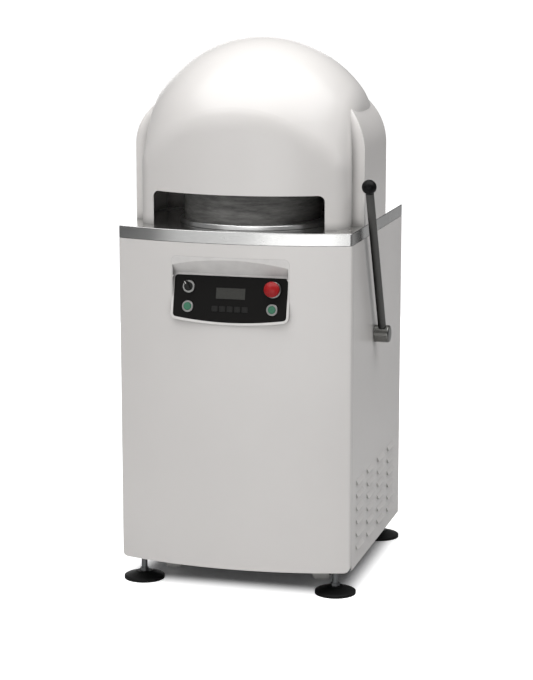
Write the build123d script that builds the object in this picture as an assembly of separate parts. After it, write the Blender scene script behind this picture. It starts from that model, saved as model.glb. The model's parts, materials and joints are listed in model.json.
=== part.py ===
from build123d import *
import os
from math import acos, asin, atan2, cos, degrees, hypot, pi, radians, sin, sqrt

# Dough divider rounder: a floor-standing cabinet with a stainless worktop, a moulding plate that
# orbits under a dividing head, a domed hood over the head and a clutch lever on the right side.
# Millimetres, +Z up. The model is laid out with x = 0 on the machine's mid-plane, y = 0 at
# mid-depth, -y to the front and z = 0 on the floor, and is centred over its box at the end.

# Cabinet
CABINET_WIDTH = 620.0
CABINET_DEPTH = 620.0
FRONT_BOW = 48.0
BODY_BOTTOM = 68.0
WORKTOP_HEIGHT = 956.0
FASCIA_HEIGHT = 31.0
SHEET = 2.0
SEAM = 1.0
FIT_GAP = 0.3
CORNER_ROUND = 6.0
PANEL_RETURN = 22.0
PANEL_FLANGE = 18.0
PANEL_FOOT_ROUND = 15.0
POST_SIDE = 30.0
PAN_THICKNESS = 4.0
DECK_DROP = 186.0
DECK_THICKNESS = 12.0
DECK_REAR_Y = 62.0
DECK_HOLE_RADIUS = 46.0
SHELF_DROP = 80.0
SHELF_THICKNESS = 8.0
SHELF_FRONT_Y = 50.0
SHELF_LIP = 25.0
SHELF_HOLE_RADIUS = 24.0

# Louvres low on both side panels
LOUVRE_COLUMNS = 4
LOUVRE_ROWS = 6
LOUVRE_PITCH_Y = 128.0
LOUVRE_PITCH_Z = 35.0
LOUVRE_LENGTH = 77.0
LOUVRE_HEIGHT = 12.0
LOUVRE_DEPTH = 6.0
LOUVRE_SKIN = 1.5
LOUVRE_FIRST_Y = -201.0
LOUVRE_FIRST_Z = 118.0

# Levelling feet
FOOT_INSET_SIDE = 47.0
FOOT_INSET_FRONT = 39.0
FOOT_INSET_BACK = 31.0
PAD_RADIUS = 54.0
PAD_HEIGHT = 20.0
PAD_RIM = 7.0
PAD_CROWN_RADIUS = 24.0
PAD_BEVEL = 2.0
PAD_CROWN_BEVEL = 4.0
PAD_SOCKET_FLOOR = 8.0
STEM_DIAMETER = 16.0
STEM_ABOVE_PAN = 26.0
STEM_HEX_FLATS = 21.0
STEM_HEX_HEIGHT = 8.0
NUT_FLATS = 24.0
NUT_HEIGHT = 12.0

# Transport rollers
ROLLER_RADIUS = 25.0
ROLLER_WIDTH = 44.0
ROLLER_CHAMFER = 5.0
ROLLER_X = 205.0
ROLLER_Y = 185.0
ROLLER_LIFT = 7.6
ROLLER_SIDE_GAP = 1.0
BRACKET_SHEET = 4.0
BRACKET_TOP_HALF = 22.0
BRACKET_EYE_RADIUS = 12.0
AXLE_DIAMETER = 12.0
AXLE_HEAD_RADIUS = 9.0
AXLE_HEAD = 3.0
RUNNING_FIT = 0.05

# Control panel, sunk at its top and proud at its lower corners
CONTROL_TILT = 13.0
CONTROL_WIDTH = 301.0
CONTROL_SIDE_HEIGHT = 107.0
CONTROL_SAG = 12.0
CONTROL_CORNER = 9.0
CONTROL_PLATE = 3.0
CONTROL_DROP = 118.0
CONTROL_TOP_DEPTH = 27.0
HOUSING_LIP = 6.0
HOUSING_LIP_RISE = 2.0
HOUSING_DEPTH = 42.0
HOUSING_WALL = 3.0
HOUSING_FLANGE = 12.0
BROW_HEIGHT = 45.0
BROW_RIM = 6.0
BROW_CORNER = 14.0
DISPLAY_WIDTH = 77.0
DISPLAY_HEIGHT = 28.0
DISPLAY_DOWN = 44.0
DISPLAY_SUNK = 0.5
SWITCH_OUT = 112.0
SWITCH_UPPER_DOWN = 30.0
SWITCH_LOWER_DOWN = 81.0
SWITCH_BARREL_RADIUS = 11.0
SWITCH_BARREL_LENGTH = 30.0
SWITCH_NUT_RADIUS = 15.0
SWITCH_NUT_HEIGHT = 6.0
SWITCH_BLOCK_SIDE = 30.0
SWITCH_BLOCK_DEPTH = 34.0
BUTTON_RADIUS = 10.0
BUTTON_PROUD = 5.5
BUTTON_SKIRT = 3.0
BUTTON_TRAVEL = 3.5
BUTTON_STEM_RADIUS = 4.0
BUTTON_EDGE = 1.5
BEZEL_RADIUS = 15.0
BEZEL_HEIGHT = 4.0
BEZEL_EDGE = 1.0
SELECTOR_RING_RADIUS = 16.5
SELECTOR_RING_HEIGHT = 5.0
SELECTOR_RING_EDGE = 1.5
SELECTOR_DISC_RADIUS = 11.0
SELECTOR_DISC_HEIGHT = 8.0
SELECTOR_GRIP_WIDTH = 7.0
SELECTOR_GRIP_HEIGHT = 9.0
SELECTOR_GRIP_REACH = 17.0
SELECTOR_GRIP_TAIL = 9.0
SELECTOR_TURN = 33.0
ESTOP_RADIUS = 20.0
ESTOP_UNDERSIDE = 12.0
ESTOP_EDGE = 7.0
ESTOP_CROWN = 9.0
ESTOP_TRAVEL = 5.0
ESTOP_STEM_RADIUS = 8.0
ESTOP_COLLAR_RADIUS = 14.0
ESTOP_COLLAR_HEIGHT = 6.0

# Hood and rear cover
HOOD_HALF_WIDTH = 277.0
HOOD_FRONT_RADIUS = 465.0
HOOD_FRONT_SETBACK = 30.0
HOOD_CORNER_RADIUS = 70.0
HOOD_RIDGE_ROUND = 110.0
HOOD_WALL = 3.0
DOME_HEIGHT = 477.0
DOME_Y = -30.0
DOME_RADIUS = 326.0
DOME_FLAT = 5.0
SKIRT_RADIUS = 846.0
SKIRT_ANGLE = 22.6
WINDOW_HALF_WIDTH = 228.5
WINDOW_HEIGHT = 89.0
WINDOW_CORNER = 16.0
COVER_FRONT_Y = -167.0
COVER_BACK_Y = 97.0
COVER_INSET = 1.0
COVER_HEIGHT = 346.0
COVER_SHOULDER_RADIUS = 152.0
COVER_BROW_RADIUS = 120.0

# Orbital drive, on the head axis
HEAD_Y = -126.0
ECCENTRICITY = 12.0
SHAFT_DIAMETER = 30.0
SHAFT_SHOULDER_RADIUS = 21.0
SHAFT_BELOW_DECK = 170.0
CRANK_RADIUS = 45.0
CRANK_HEIGHT = 15.0
CRANK_LIFT = 13.0
COUNTERWEIGHT_RADIUS = 70.0
CRANK_PIN_DIAMETER = 25.0
BEARING_RADIUS = 31.0
BEARING_WIDTH = 16.0
BEARING_LIP = 4.0
UPPER_BEARING_SINK = 4.0
LOWER_BEARING_LIFT = 2.0
HOUSING_FOOT_RADIUS = 95.0
HOUSING_FOOT = 12.0
HOUSING_BARREL_RADIUS = 48.0
HOUSING_BARREL_HEIGHT = 90.0
SPIDER_RADIUS = 150.0
SPIDER_THICKNESS = 14.0
SATELLITE_RADIUS = 125.0
SATELLITE_JOURNAL = 16.0
SATELLITE_COLLAR_RADIUS = 12.0
SATELLITE_BOSS_RADIUS = 18.0
SATELLITE_BOSS = 34.0
SATELLITE_DISC_RADIUS = 26.0
SATELLITE_DISC_LIFT = 4.0
SATELLITE_DISC = 12.0
SATELLITE_PIN = 14.0
TABLE_RADIUS = 172.0
TABLE_THICKNESS = 14.0
TABLE_RISE = 1.0
TABLE_HUB_RADIUS = 40.0
TABLE_BOSS_RADIUS = 15.0
TABLE_HOLE_GAP = 4.5
PLATE_RADIUS = 202.0
PLATE_THICKNESS = 12.0
PLATE_EDGE_ROUND = 3.0
LOCATOR_DIAMETER = 12.0
LOCATOR_HEIGHT = 6.0
LOCATOR_X = 90.0
LOCATOR_Y = 60.0

# Clutch, belt drive and lever
PULLEY_RADIUS = 110.0
PULLEY_GROOVE = 5.0
PULLEY_DROP = 48.0
PULLEY_WIDTH = 26.0
PULLEY_FLANGE = 5.0
PULLEY_WEB = 10.0
PULLEY_RIM = 10.0
PULLEY_HUB_RADIUS = 34.0
PULLEY_HUB_GAP = 5.0
SOCKET_RADIUS = 50.0
COLLAR_RADIUS = 22.0
COLLAR_HEIGHT = 6.0
BELT_THICKNESS = 5.0
MOTOR_PULLEY_RADIUS = 40.0
MOTOR_PULLEY_HUB_RADIUS = 21.0
MOTOR_PULLEY_HUB = 5.0
MOTOR_Y = 150.0
MOTOR_SHAFT_DIAMETER = 24.0
MOTOR_SHAFT_PROUD = 5.0
MOTOR_RADIUS = 72.0
MOTOR_LENGTH = 235.0
MOTOR_FINS = 20
MOTOR_FIN_HEIGHT = 10.0
MOTOR_FIN_THICKNESS = 3.0
MOTOR_FIN_GAP = 5.0
MOTOR_FLANGE_RADIUS = 92.0
MOTOR_FLANGE = 12.0
FAN_COVER_LENGTH = 45.0
LEVER_Y = -28.0
LEVER_DROP = 305.0
LEVER_LEAN = 24.0
LEVER_LENGTH = 452.0
LEVER_SWING = 20.0
LEVER_SHAFT_DIAMETER = 22.0
LEVER_SHAFT_PROUD = 5.0
LEVER_HUB_DIAMETER = 46.0
LEVER_HUB_LENGTH = 40.0
LEVER_HUB_GAP = 1.0
LEVER_HUB_ROUND = 5.0
LEVER_HUB_CAP = 10.0
LEVER_ROD_DIAMETER = 16.0
LEVER_ROD_SEAT = 12.0
KNOB_DIAMETER = 38.0
BUSH_RADIUS = 16.0
BUSH_FLANGE_RADIUS = 26.0
BUSH_FLANGE = 4.0
BUSH_LENGTH = 14.0
BLOCK_HALF_DEPTH = 24.0
BLOCK_WIDTH = 22.0
BLOCK_LEFT_X = -117.0
BLOCK_RIGHT_X = 216.0
SLEEVE_FLANGE_RADIUS = 48.0
SLEEVE_GROOVE_RADIUS = 38.0
SLEEVE_FLANGE = 12.0
SLEEVE_SKIRT = 12.0
SLEEVE_CONE_HEIGHT = 16.0
SLEEVE_CONE_TOP_RADIUS = 38.0
SLEEVE_CONE_BASE_RADIUS = 44.0
SLEEVE_CONE_GAP = 0.4
SLEEVE_COUNTERBORE_RADIUS = 25.0
SLEEVE_COUNTERBORE = 8.0
FORK_PIN_DIAMETER = 12.0
FORK_PIN_GAP = 0.5
FORK_PIN_TIP_GAP = 1.5
FORK_ARM_GAP = 4.0
FORK_ARM_THICKNESS = 12.0
FORK_ARM_HEIGHT = 20.0
FORK_HUB_RADIUS = 20.0
KEY_WIDTH = 8.0
KEY_HEIGHT = 3.0

# Dividing head
COLUMN_X = 215.0
COLUMN_Y = 20.0
COLUMN_DIAMETER = 40.0
COLUMN_SPIGOT = 28.0
COLUMN_NUT_FLATS = 44.0
COLUMN_NUT_HEIGHT = 16.0
COLUMN_STUD_PROUD = 5.0
BRIDGE_THICKNESS = 25.0
BRIDGE_ARM_WIDTH = 64.0
BRIDGE_DISC_RADIUS = 70.0
BARREL_RADIUS = 45.0
BARREL_BORE_RADIUS = 38.0
BARREL_SPARE = 30.0
BARREL_CAP = 12.0
BARREL_FLANGE_RADIUS = 60.0
ROD_DIAMETER = 30.0
ROD_SPIGOT = 20.0
PISTON_HEIGHT = 20.0
HEAD_TRAVEL = 75.0
RING_RADIUS = 181.0
RING_WALL = 5.0
RING_GAP = 0.3
RING_FLANGE_RADIUS = 190.0
RING_FLANGE = 8.0
CROSSHEAD_THICKNESS = 25.0
CROSSHEAD_RADIUS = 192.0
BUSH_WALL = 7.0
GUIDE_BUSH_BELOW = 15.0
GUIDE_BUSH_ABOVE = 18.0
GUIDE_BUSH_COLLAR = 6.0
PORTION_RINGS = (4, 10, 16)
SEGMENT_THICKNESS = 12.0
CHAMBER_HEIGHT = 31.0
PRESS_PLATE_GAP = 0.7
BLADE_THICKNESS = 2.0
BLADE_GAP = 0.4
BLADE_SUNK = 2.0
BLADE_SPARE = 4.0
CARRIER_RADIUS = 168.0
KNIFE_CARRIER = 6.0
PRESS_CARRIER = 8.0
PRESS_CARRIER_GAP = 5.0
SEGMENT_POST_RADIUS = 6.0
POST_HOLE_GAP = 1.0
PRESS_TRAVEL = 28.0
KNIFE_TRAVEL = 30.0
TRAVEL_CLEARANCE = 2.0
GUIDE_ROD_RADIUS = 7.0
PRESS_ROD_CIRCLE = 130.0
KNIFE_ROD_CIRCLE = 95.0
GUIDE_ROD_PROUD = 18.0

# Hydraulic pack, electrics and inlet
TANK_SIZE = (300.0, 220.0, 220.0)
TANK_CENTRE = (20.0, -120.0)
TANK_ROUND = 12.0
TANK_WALL = 3.0
FILLER_RADIUS = 16.0
FILLER_HEIGHT = 16.0
FILLER_INSET = 32.0
PUMP_X = 70.0
PUMP_RADIUS = 58.0
PUMP_HEIGHT = 190.0
PUMP_FINS = 16
PUMP_FIN_HEIGHT = 7.0
PUMP_FIN_LIFT = 10.0
VALVE_SIZE = (80.0, 90.0, 60.0)
VALVE_X = -70.0
SOLENOID_RADIUS = 16.0
SOLENOID_LENGTH = 40.0
BOX_SIZE = (110.0, 260.0, 240.0)
BOX_ROUND = 6.0
BOX_WALL = 2.0
BOX_GAP = 10.0
GLAND_X = -200.0
GLAND_Z = 150.0
GLAND_FLATS = 27.0
GLAND_LENGTH = 22.0
GLAND_CABLE_RADIUS = 6.0
GLAND_THREAD_RADIUS = 10.0
GLAND_NUT = 5.0

# Worked out from the sizes above
HALF_WIDTH = CABINET_WIDTH / 2
FRONT_Y = -CABINET_DEPTH / 2
BACK_Y = CABINET_DEPTH / 2
MID_FRONT_Y = FRONT_Y - FRONT_BOW
BOW_RADIUS = (HALF_WIDTH ** 2 + FRONT_BOW ** 2) / (2 * FRONT_BOW)
BOW_CENTRE_Y = MID_FRONT_Y + BOW_RADIUS
INNER_X = HALF_WIDTH - SHEET
INNER_BACK = BACK_Y - SHEET
WORKTOP_UNDER = WORKTOP_HEIGHT - SHEET
PANEL_TOP = WORKTOP_HEIGHT - FASCIA_HEIGHT - SEAM
PAN_BOTTOM = BODY_BOTTOM + SHEET
PAN_TOP = PAN_BOTTOM + PAN_THICKNESS
DECK_BOTTOM = WORKTOP_HEIGHT - DECK_DROP
DECK_TOP = DECK_BOTTOM + DECK_THICKNESS
SHELF_BOTTOM = DECK_BOTTOM - SHELF_DROP
POST_FRONT_Y = FRONT_Y + CORNER_ROUND + SEAM
FOOT_PLACES = [
    (side * (HALF_WIDTH - FOOT_INSET_SIDE), y)
    for y in (FRONT_Y + FOOT_INSET_FRONT, BACK_Y - FOOT_INSET_BACK)
    for side in (-1, 1)
]
ROLLER_Z = ROLLER_LIFT + ROLLER_RADIUS
ROLLER_PLACES = {
    "front_left": (-ROLLER_X, -ROLLER_Y),
    "front_right": (ROLLER_X, -ROLLER_Y),
    "rear_left": (-ROLLER_X, ROLLER_Y),
    "rear_right": (ROLLER_X, ROLLER_Y),
}
CONTROL_TOP_Y = MID_FRONT_Y + CONTROL_TOP_DEPTH
CONTROL_TOP_Z = WORKTOP_HEIGHT - CONTROL_DROP
BROW_TOP_Z = CONTROL_TOP_Z + BROW_HEIGHT
CONTROL_FACE = Plane(
    origin=(0, CONTROL_TOP_Y, CONTROL_TOP_Z),
    x_dir=(1, 0, 0),
    z_dir=(0, -cos(radians(CONTROL_TILT)), sin(radians(CONTROL_TILT))),
)
SWITCH_PLACES = {
    "selector": (-SWITCH_OUT, -SWITCH_UPPER_DOWN),
    "start_left": (-SWITCH_OUT, -SWITCH_LOWER_DOWN),
    "start_right": (SWITCH_OUT, -SWITCH_LOWER_DOWN),
    "estop": (SWITCH_OUT, -SWITCH_UPPER_DOWN),
}
HOOD_FRONT_Y = MID_FRONT_Y + HOOD_FRONT_SETBACK
DOME_TOP_Z = WORKTOP_HEIGHT + DOME_HEIGHT
DOME_Z = DOME_TOP_Z - DOME_RADIUS
WINDOW_TOP_Z = WORKTOP_HEIGHT + WINDOW_HEIGHT
COVER_HALF_WIDTH = HALF_WIDTH - COVER_INSET
COVER_TOP_Z = WORKTOP_HEIGHT + COVER_HEIGHT
TABLE_TOP = WORKTOP_HEIGHT + TABLE_RISE
PLATE_TOP = TABLE_TOP + PLATE_THICKNESS
TABLE_HOLE_RADIUS = TABLE_RADIUS + ECCENTRICITY + TABLE_HOLE_GAP
TABLE_CENTRE = (ECCENTRICITY, HEAD_Y)
SATELLITE_PLACES = {
    letter: (
        SATELLITE_RADIUS * cos(radians(angle)),
        HEAD_Y + SATELLITE_RADIUS * sin(radians(angle)),
    )
    for letter, angle in (("a", 90), ("b", 210), ("c", 330))
}
SHAFT_BOTTOM = DECK_BOTTOM - SHAFT_BELOW_DECK
HOUSING_TOP = DECK_TOP + HOUSING_BARREL_HEIGHT
UPPER_BEARING_TOP = HOUSING_TOP - UPPER_BEARING_SINK
UPPER_BEARING_BOTTOM = UPPER_BEARING_TOP - BEARING_WIDTH
LOWER_BEARING_BOTTOM = DECK_TOP + LOWER_BEARING_LIFT
CRANK_BOTTOM = HOUSING_TOP + CRANK_LIFT
CRANK_TOP = CRANK_BOTTOM + CRANK_HEIGHT
TABLE_BOTTOM = TABLE_TOP - TABLE_THICKNESS
PULLEY_BOTTOM = DECK_BOTTOM - PULLEY_DROP
LEVER_Z = WORKTOP_HEIGHT - LEVER_DROP
SLEEVE_LIFT = (HEAD_Y - LEVER_Y) * -sin(radians(LEVER_SWING))
SLEEVE_TOP = LEVER_Z + FORK_PIN_DIAMETER / 2 + FORK_PIN_GAP + SLEEVE_FLANGE + SLEEVE_CONE_HEIGHT
SLEEVE_BOTTOM = LEVER_Z - FORK_PIN_DIAMETER / 2 - FORK_PIN_GAP - SLEEVE_FLANGE - SLEEVE_SKIRT
SOCKET_BOTTOM = SLEEVE_TOP - SLEEVE_CONE_HEIGHT + SLEEVE_LIFT + SEAM
SOCKET_TOP = SLEEVE_TOP + SLEEVE_LIFT + SEAM
FORK_ARM_X = SLEEVE_FLANGE_RADIUS + FORK_ARM_GAP
HUB_START_X = HALF_WIDTH + LEVER_HUB_GAP
HUB_END_X = HUB_START_X + LEVER_HUB_LENGTH
LEVER_X = HUB_START_X + LEVER_HUB_LENGTH / 2
LEVER_DIRECTION = Vector(0, -sin(radians(LEVER_LEAN)), cos(radians(LEVER_LEAN)))
RING_BOTTOM = PLATE_TOP + RING_GAP
SEGMENT_BOTTOM = PLATE_TOP + CHAMBER_HEIGHT
SEGMENT_TOP = SEGMENT_BOTTOM + SEGMENT_THICKNESS
BLADE_BOTTOM = SEGMENT_BOTTOM + BLADE_SUNK
KNIFE_CARRIER_BOTTOM = SEGMENT_TOP + KNIFE_TRAVEL + BLADE_SPARE
KNIFE_CARRIER_TOP = KNIFE_CARRIER_BOTTOM + KNIFE_CARRIER
PRESS_CARRIER_BOTTOM = KNIFE_CARRIER_TOP + PRESS_TRAVEL + TRAVEL_CLEARANCE
PRESS_CARRIER_TOP = PRESS_CARRIER_BOTTOM + PRESS_CARRIER
CROSSHEAD_BOTTOM = PRESS_CARRIER_TOP + PRESS_CARRIER_GAP
CROSSHEAD_TOP = CROSSHEAD_BOTTOM + CROSSHEAD_THICKNESS
GUIDE_ROD_TOP = CROSSHEAD_TOP + GUIDE_ROD_PROUD
BRIDGE_BOTTOM = CROSSHEAD_TOP + max(GUIDE_BUSH_ABOVE, GUIDE_ROD_PROUD) + HEAD_TRAVEL + TRAVEL_CLEARANCE
BRIDGE_TOP = BRIDGE_BOTTOM + BRIDGE_THICKNESS
BARREL_LENGTH = 2 * BARREL_CAP + SEAM + PISTON_HEIGHT + HEAD_TRAVEL + BARREL_SPARE
PRESS_RADIUS = RING_RADIUS - RING_WALL - PRESS_PLATE_GAP
COLUMN_PLACES = [(-COLUMN_X, COLUMN_Y), (COLUMN_X, COLUMN_Y)]


def block(x0, x1, y0, y1, z0, z1):
    return Pos((x0 + x1) / 2, (y0 + y1) / 2, (z0 + z1) / 2) * Box(x1 - x0, y1 - y0, z1 - z0)


def upright(radius, place, z0, z1):
    return Pos(place[0], place[1], (z0 + z1) / 2) * Cylinder(radius, z1 - z0)


def crosswise(radius, y, z, x0, x1):
    return Pos((x0 + x1) / 2, y, z) * Rot(0, 90, 0) * Cylinder(radius, x1 - x0)


def hexagon(flats, place, z0, z1):
    return Pos(place[0], place[1], z0) * extrude(RegularPolygon(flats / sqrt(3), 6), z1 - z0)


def turned(points, place=(0, 0)):
    """A solid of revolution about a vertical axis, from (radius, z) points."""
    outline = Plane.XZ * make_face(Polyline(*points, close=True))
    return Pos(place[0], place[1], 0) * revolve(outline, Axis.Z)


def side_profile(points, x0, x1):
    """A prism along X from (y, z) points."""
    outline = make_face(Polyline(*points, close=True))
    return extrude(Plane(origin=(x0, 0, 0), x_dir=(0, 1, 0), z_dir=(1, 0, 0)) * outline, x1 - x0)


def front_profile(outline, y0, y1):
    """A prism along Y from a sketch drawn in x and z."""
    placed = Plane(origin=(0, y0, 0), x_dir=(1, 0, 0), z_dir=(0, -1, 0)) * outline
    return extrude(placed, y0 - y1)


def cabinet_plan(inset):
    """The cabinet's outline from above, with its bowed front, drawn in by a distance."""
    half = HALF_WIDTH - inset
    radius = BOW_RADIUS - inset
    corner_y = BOW_CENTRE_Y - sqrt(radius ** 2 - half ** 2)
    back = BACK_Y - inset
    edge = [
        Line((half, back), (-half, back)),
        Line((-half, back), (-half, corner_y)),
        ThreePointArc((-half, corner_y), (0, BOW_CENTRE_Y - radius), (half, corner_y)),
        Line((half, corner_y), (half, back)),
    ]
    outline = make_face(edge)
    corners = outline.vertices().sort_by(Axis.Y)[:2]
    return fillet(corners, max(CORNER_ROUND - inset, CORNER_ROUND / 4))


def cabinet_block(inset, z0, z1):
    return Pos(0, 0, z0) * extrude(cabinet_plan(inset), z1 - z0)


# Cabinet

def base_pan():
    pan = cabinet_block(SHEET + FIT_GAP, PAN_BOTTOM, PAN_TOP)
    for place in FOOT_PLACES:
        pan += upright(NUT_FLATS / 2, place, PAN_TOP, PAN_TOP + NUT_HEIGHT)
        pan -= upright(STEM_DIAMETER / 2, place, PAN_BOTTOM, PAN_TOP + NUT_HEIGHT)
    return pan


def cabinet_posts():
    """Four corner posts, and two side rails that carry the drive deck."""
    solids = []
    for side in (-1, 1):
        x0, x1 = sorted((side * INNER_X, side * (INNER_X - POST_SIDE)))
        front_end = POST_FRONT_Y + POST_SIDE
        rear_start = INNER_BACK - POST_SIDE
        solids.append(block(x0, x1, POST_FRONT_Y, front_end, PAN_TOP, WORKTOP_UNDER))
        solids.append(block(x0, x1, rear_start, INNER_BACK, PAN_TOP, WORKTOP_UNDER))
        solids.append(block(x0, x1, front_end, rear_start, DECK_BOTTOM - POST_SIDE, DECK_BOTTOM))
    return solids


def drive_deck():
    front = POST_FRONT_Y + POST_SIDE + SEAM
    deck = block(-INNER_X + SEAM, INNER_X - SEAM, front, DECK_REAR_Y, DECK_BOTTOM, DECK_TOP)
    deck -= upright(DECK_HOLE_RADIUS, (0, HEAD_Y), DECK_BOTTOM, DECK_TOP)
    for place in COLUMN_PLACES:
        deck -= upright(COLUMN_SPIGOT / 2, place, DECK_BOTTOM, DECK_TOP)
    return deck


def motor_shelf():
    half = INNER_X - POST_SIDE
    top = SHELF_BOTTOM + SHELF_THICKNESS
    shelf = block(-half, half, SHELF_FRONT_Y, INNER_BACK, SHELF_BOTTOM, top)
    lip_back = SHELF_FRONT_Y + SHELF_THICKNESS
    shelf += block(-half, half, SHELF_FRONT_Y, lip_back, SHELF_BOTTOM - SHELF_LIP, SHELF_BOTTOM)
    return shelf - upright(SHELF_HOLE_RADIUS, (0, MOTOR_Y), SHELF_BOTTOM, top)


def brow_outline(grow):
    """The brow over the fascia from the front, with rounded upper corners, grown by a distance."""
    half = CONTROL_WIDTH / 2 + HOUSING_LIP + grow
    top = BROW_TOP_Z + BROW_RIM + grow
    outline = Pos(0, (CONTROL_TOP_Z + top) / 2) * Rectangle(2 * half, top - CONTROL_TOP_Z)
    return fillet(outline.vertices().sort_by(Axis.Y)[-2:], BROW_CORNER + grow)


def housing_opening(grow):
    """The control housing's outline cut straight through from the front, grown by a distance."""
    front = CONTROL_TOP_Y - 2 * HOUSING_DEPTH
    back = CONTROL_TOP_Y + 2 * HOUSING_DEPTH
    lip_face = CONTROL_FACE * Pos(0, 0, HOUSING_LIP_RISE) * control_outline(HOUSING_LIP + grow)
    tray = extrude(Pos(0, -2 * HOUSING_DEPTH, 0) * lip_face, 4 * HOUSING_DEPTH, dir=(0, 1, 0))
    return tray + front_profile(brow_outline(grow), front, back)


def front_panel():
    strip_depth = FRONT_BOW + PANEL_RETURN
    strip = Pos(0, MID_FRONT_Y + strip_depth / 2) * Rectangle(2 * CABINET_WIDTH, strip_depth)
    skin = (cabinet_plan(0) - cabinet_plan(SHEET)) & strip
    panel = Pos(0, 0, BODY_BOTTOM) * extrude(skin, PANEL_TOP - BODY_BOTTOM)
    height = PANEL_TOP - BODY_BOTTOM
    face = Pos(0, BODY_BOTTOM + height / 2) * Rectangle(CABINET_WIDTH, height)
    face = fillet(face.vertices().sort_by(Axis.Y)[:2], PANEL_FOOT_ROUND)
    panel &= front_profile(face, MID_FRONT_Y - SHEET, FRONT_Y + 2 * PANEL_RETURN)
    reach = Pos(0, MID_FRONT_Y) * Rectangle(CABINET_WIDTH - 4 * PANEL_FOOT_ROUND, 2 * FRONT_BOW)
    flange = (cabinet_plan(SHEET / 2) - cabinet_plan(SHEET + PANEL_FLANGE)) & reach
    panel += Pos(0, 0, BODY_BOTTOM) * extrude(flange, SHEET)
    return panel - housing_opening(FIT_GAP)


def louvre(side, y, z):
    """One pressed louvre hood: a slanted skin with closed ends, open along its lower edge."""
    x = side * HALF_WIDTH
    out = side * (HALF_WIDTH + LOUVRE_DEPTH)
    inner = side * (HALF_WIDTH - SHEET)
    skin = side * LOUVRE_SKIN
    low = z - LOUVRE_HEIGHT / 2
    high = z + LOUVRE_HEIGHT / 2
    section = Plane(origin=(0, y + LOUVRE_LENGTH / 2, 0), x_dir=(1, 0, 0), z_dir=(0, -1, 0))
    outside = [(inner, high), (x, high), (out, low), (inner, low)]
    inside = [(inner, high - LOUVRE_SKIN), (x, high - 2 * LOUVRE_SKIN), (out - skin, low), (inner, low)]
    hood = extrude(section * make_face(Polyline(*outside, close=True)), LOUVRE_LENGTH)
    core = Pos(0, -LOUVRE_SKIN, 0) * section * make_face(Polyline(*inside, close=True))
    return hood, extrude(core, LOUVRE_LENGTH - 2 * LOUVRE_SKIN)


def side_panel(side):
    x0, x1 = sorted((side * HALF_WIDTH, side * INNER_X))
    panel = block(x0, x1, FRONT_Y + PANEL_RETURN + SEAM, BACK_Y, BODY_BOTTOM, PANEL_TOP)
    hoods = []
    hollows = []
    for column in range(LOUVRE_COLUMNS):
        for row in range(LOUVRE_ROWS):
            place = (LOUVRE_FIRST_Y + column * LOUVRE_PITCH_Y, LOUVRE_FIRST_Z + row * LOUVRE_PITCH_Z)
            hood, hollow = louvre(side, *place)
            hoods.append(hood)
            hollows.append(hollow)
    panel = panel + hoods - hollows
    if side > 0:
        panel -= crosswise(BUSH_RADIUS, LEVER_Y, LEVER_Z, INNER_X, HALF_WIDTH)
    return panel


def rear_panel():
    half = INNER_X - FIT_GAP
    panel = block(-half, half, INNER_BACK, BACK_Y, BODY_BOTTOM, PANEL_TOP)
    return panel - along_rear(GLAND_THREAD_RADIUS, INNER_BACK, BACK_Y)


def worktop():
    top = cabinet_block(0, WORKTOP_HEIGHT - FASCIA_HEIGHT, WORKTOP_HEIGHT)
    top = fillet(top.faces().sort_by(Axis.Z)[-1].edges(), SHEET)
    top -= cabinet_block(SHEET, WORKTOP_HEIGHT - FASCIA_HEIGHT, WORKTOP_UNDER)
    top -= upright(TABLE_HOLE_RADIUS, (0, HEAD_Y), WORKTOP_UNDER, WORKTOP_HEIGHT)
    for place in COLUMN_PLACES:
        top -= upright(COLUMN_DIAMETER / 2 + FIT_GAP, place, WORKTOP_UNDER, WORKTOP_HEIGHT)
    return top


# Feet and rollers

def foot_pad(place):
    pad = turned(
        [
            (0, 0),
            (PAD_RADIUS, 0),
            (PAD_RADIUS, PAD_RIM),
            (PAD_RADIUS - PAD_RIM / 2, PAD_RIM + PAD_BEVEL),
            (PAD_CROWN_RADIUS, PAD_HEIGHT - PAD_BEVEL),
            (PAD_CROWN_RADIUS - PAD_CROWN_BEVEL, PAD_HEIGHT),
            (0, PAD_HEIGHT),
        ],
        place,
    )
    return pad - upright(STEM_DIAMETER / 2, place, PAD_SOCKET_FLOOR, PAD_HEIGHT)


def foot_stem(place):
    stem = upright(STEM_DIAMETER / 2, place, PAD_SOCKET_FLOOR, PAN_BOTTOM + STEM_ABOVE_PAN)
    return stem + hexagon(STEM_HEX_FLATS, place, PAD_HEIGHT, PAD_HEIGHT + STEM_HEX_HEIGHT)


def foot_nut(place):
    nut = hexagon(NUT_FLATS, place, PAN_BOTTOM - NUT_HEIGHT, PAN_BOTTOM)
    return nut - upright(STEM_DIAMETER / 2, place, PAN_BOTTOM - NUT_HEIGHT, PAN_BOTTOM)


def roller_bracket(place):
    x, y = place
    inner = ROLLER_WIDTH / 2 + ROLLER_SIDE_GAP
    outer = inner + BRACKET_SHEET
    cheek = side_profile(
        [
            (y - BRACKET_TOP_HALF, PAN_BOTTOM),
            (y - BRACKET_EYE_RADIUS, ROLLER_Z),
            (y + BRACKET_EYE_RADIUS, ROLLER_Z),
            (y + BRACKET_TOP_HALF, PAN_BOTTOM),
        ],
        x - outer,
        x + outer,
    )
    cheek += crosswise(BRACKET_EYE_RADIUS, y, ROLLER_Z, x - outer, x + outer)
    reach = 2 * BRACKET_TOP_HALF
    cheek -= block(x - inner, x + inner, y - reach, y + reach, 0, PAN_BOTTOM - BRACKET_SHEET)
    return cheek - crosswise(AXLE_DIAMETER / 2, y, ROLLER_Z, x - outer, x + outer)


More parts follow.
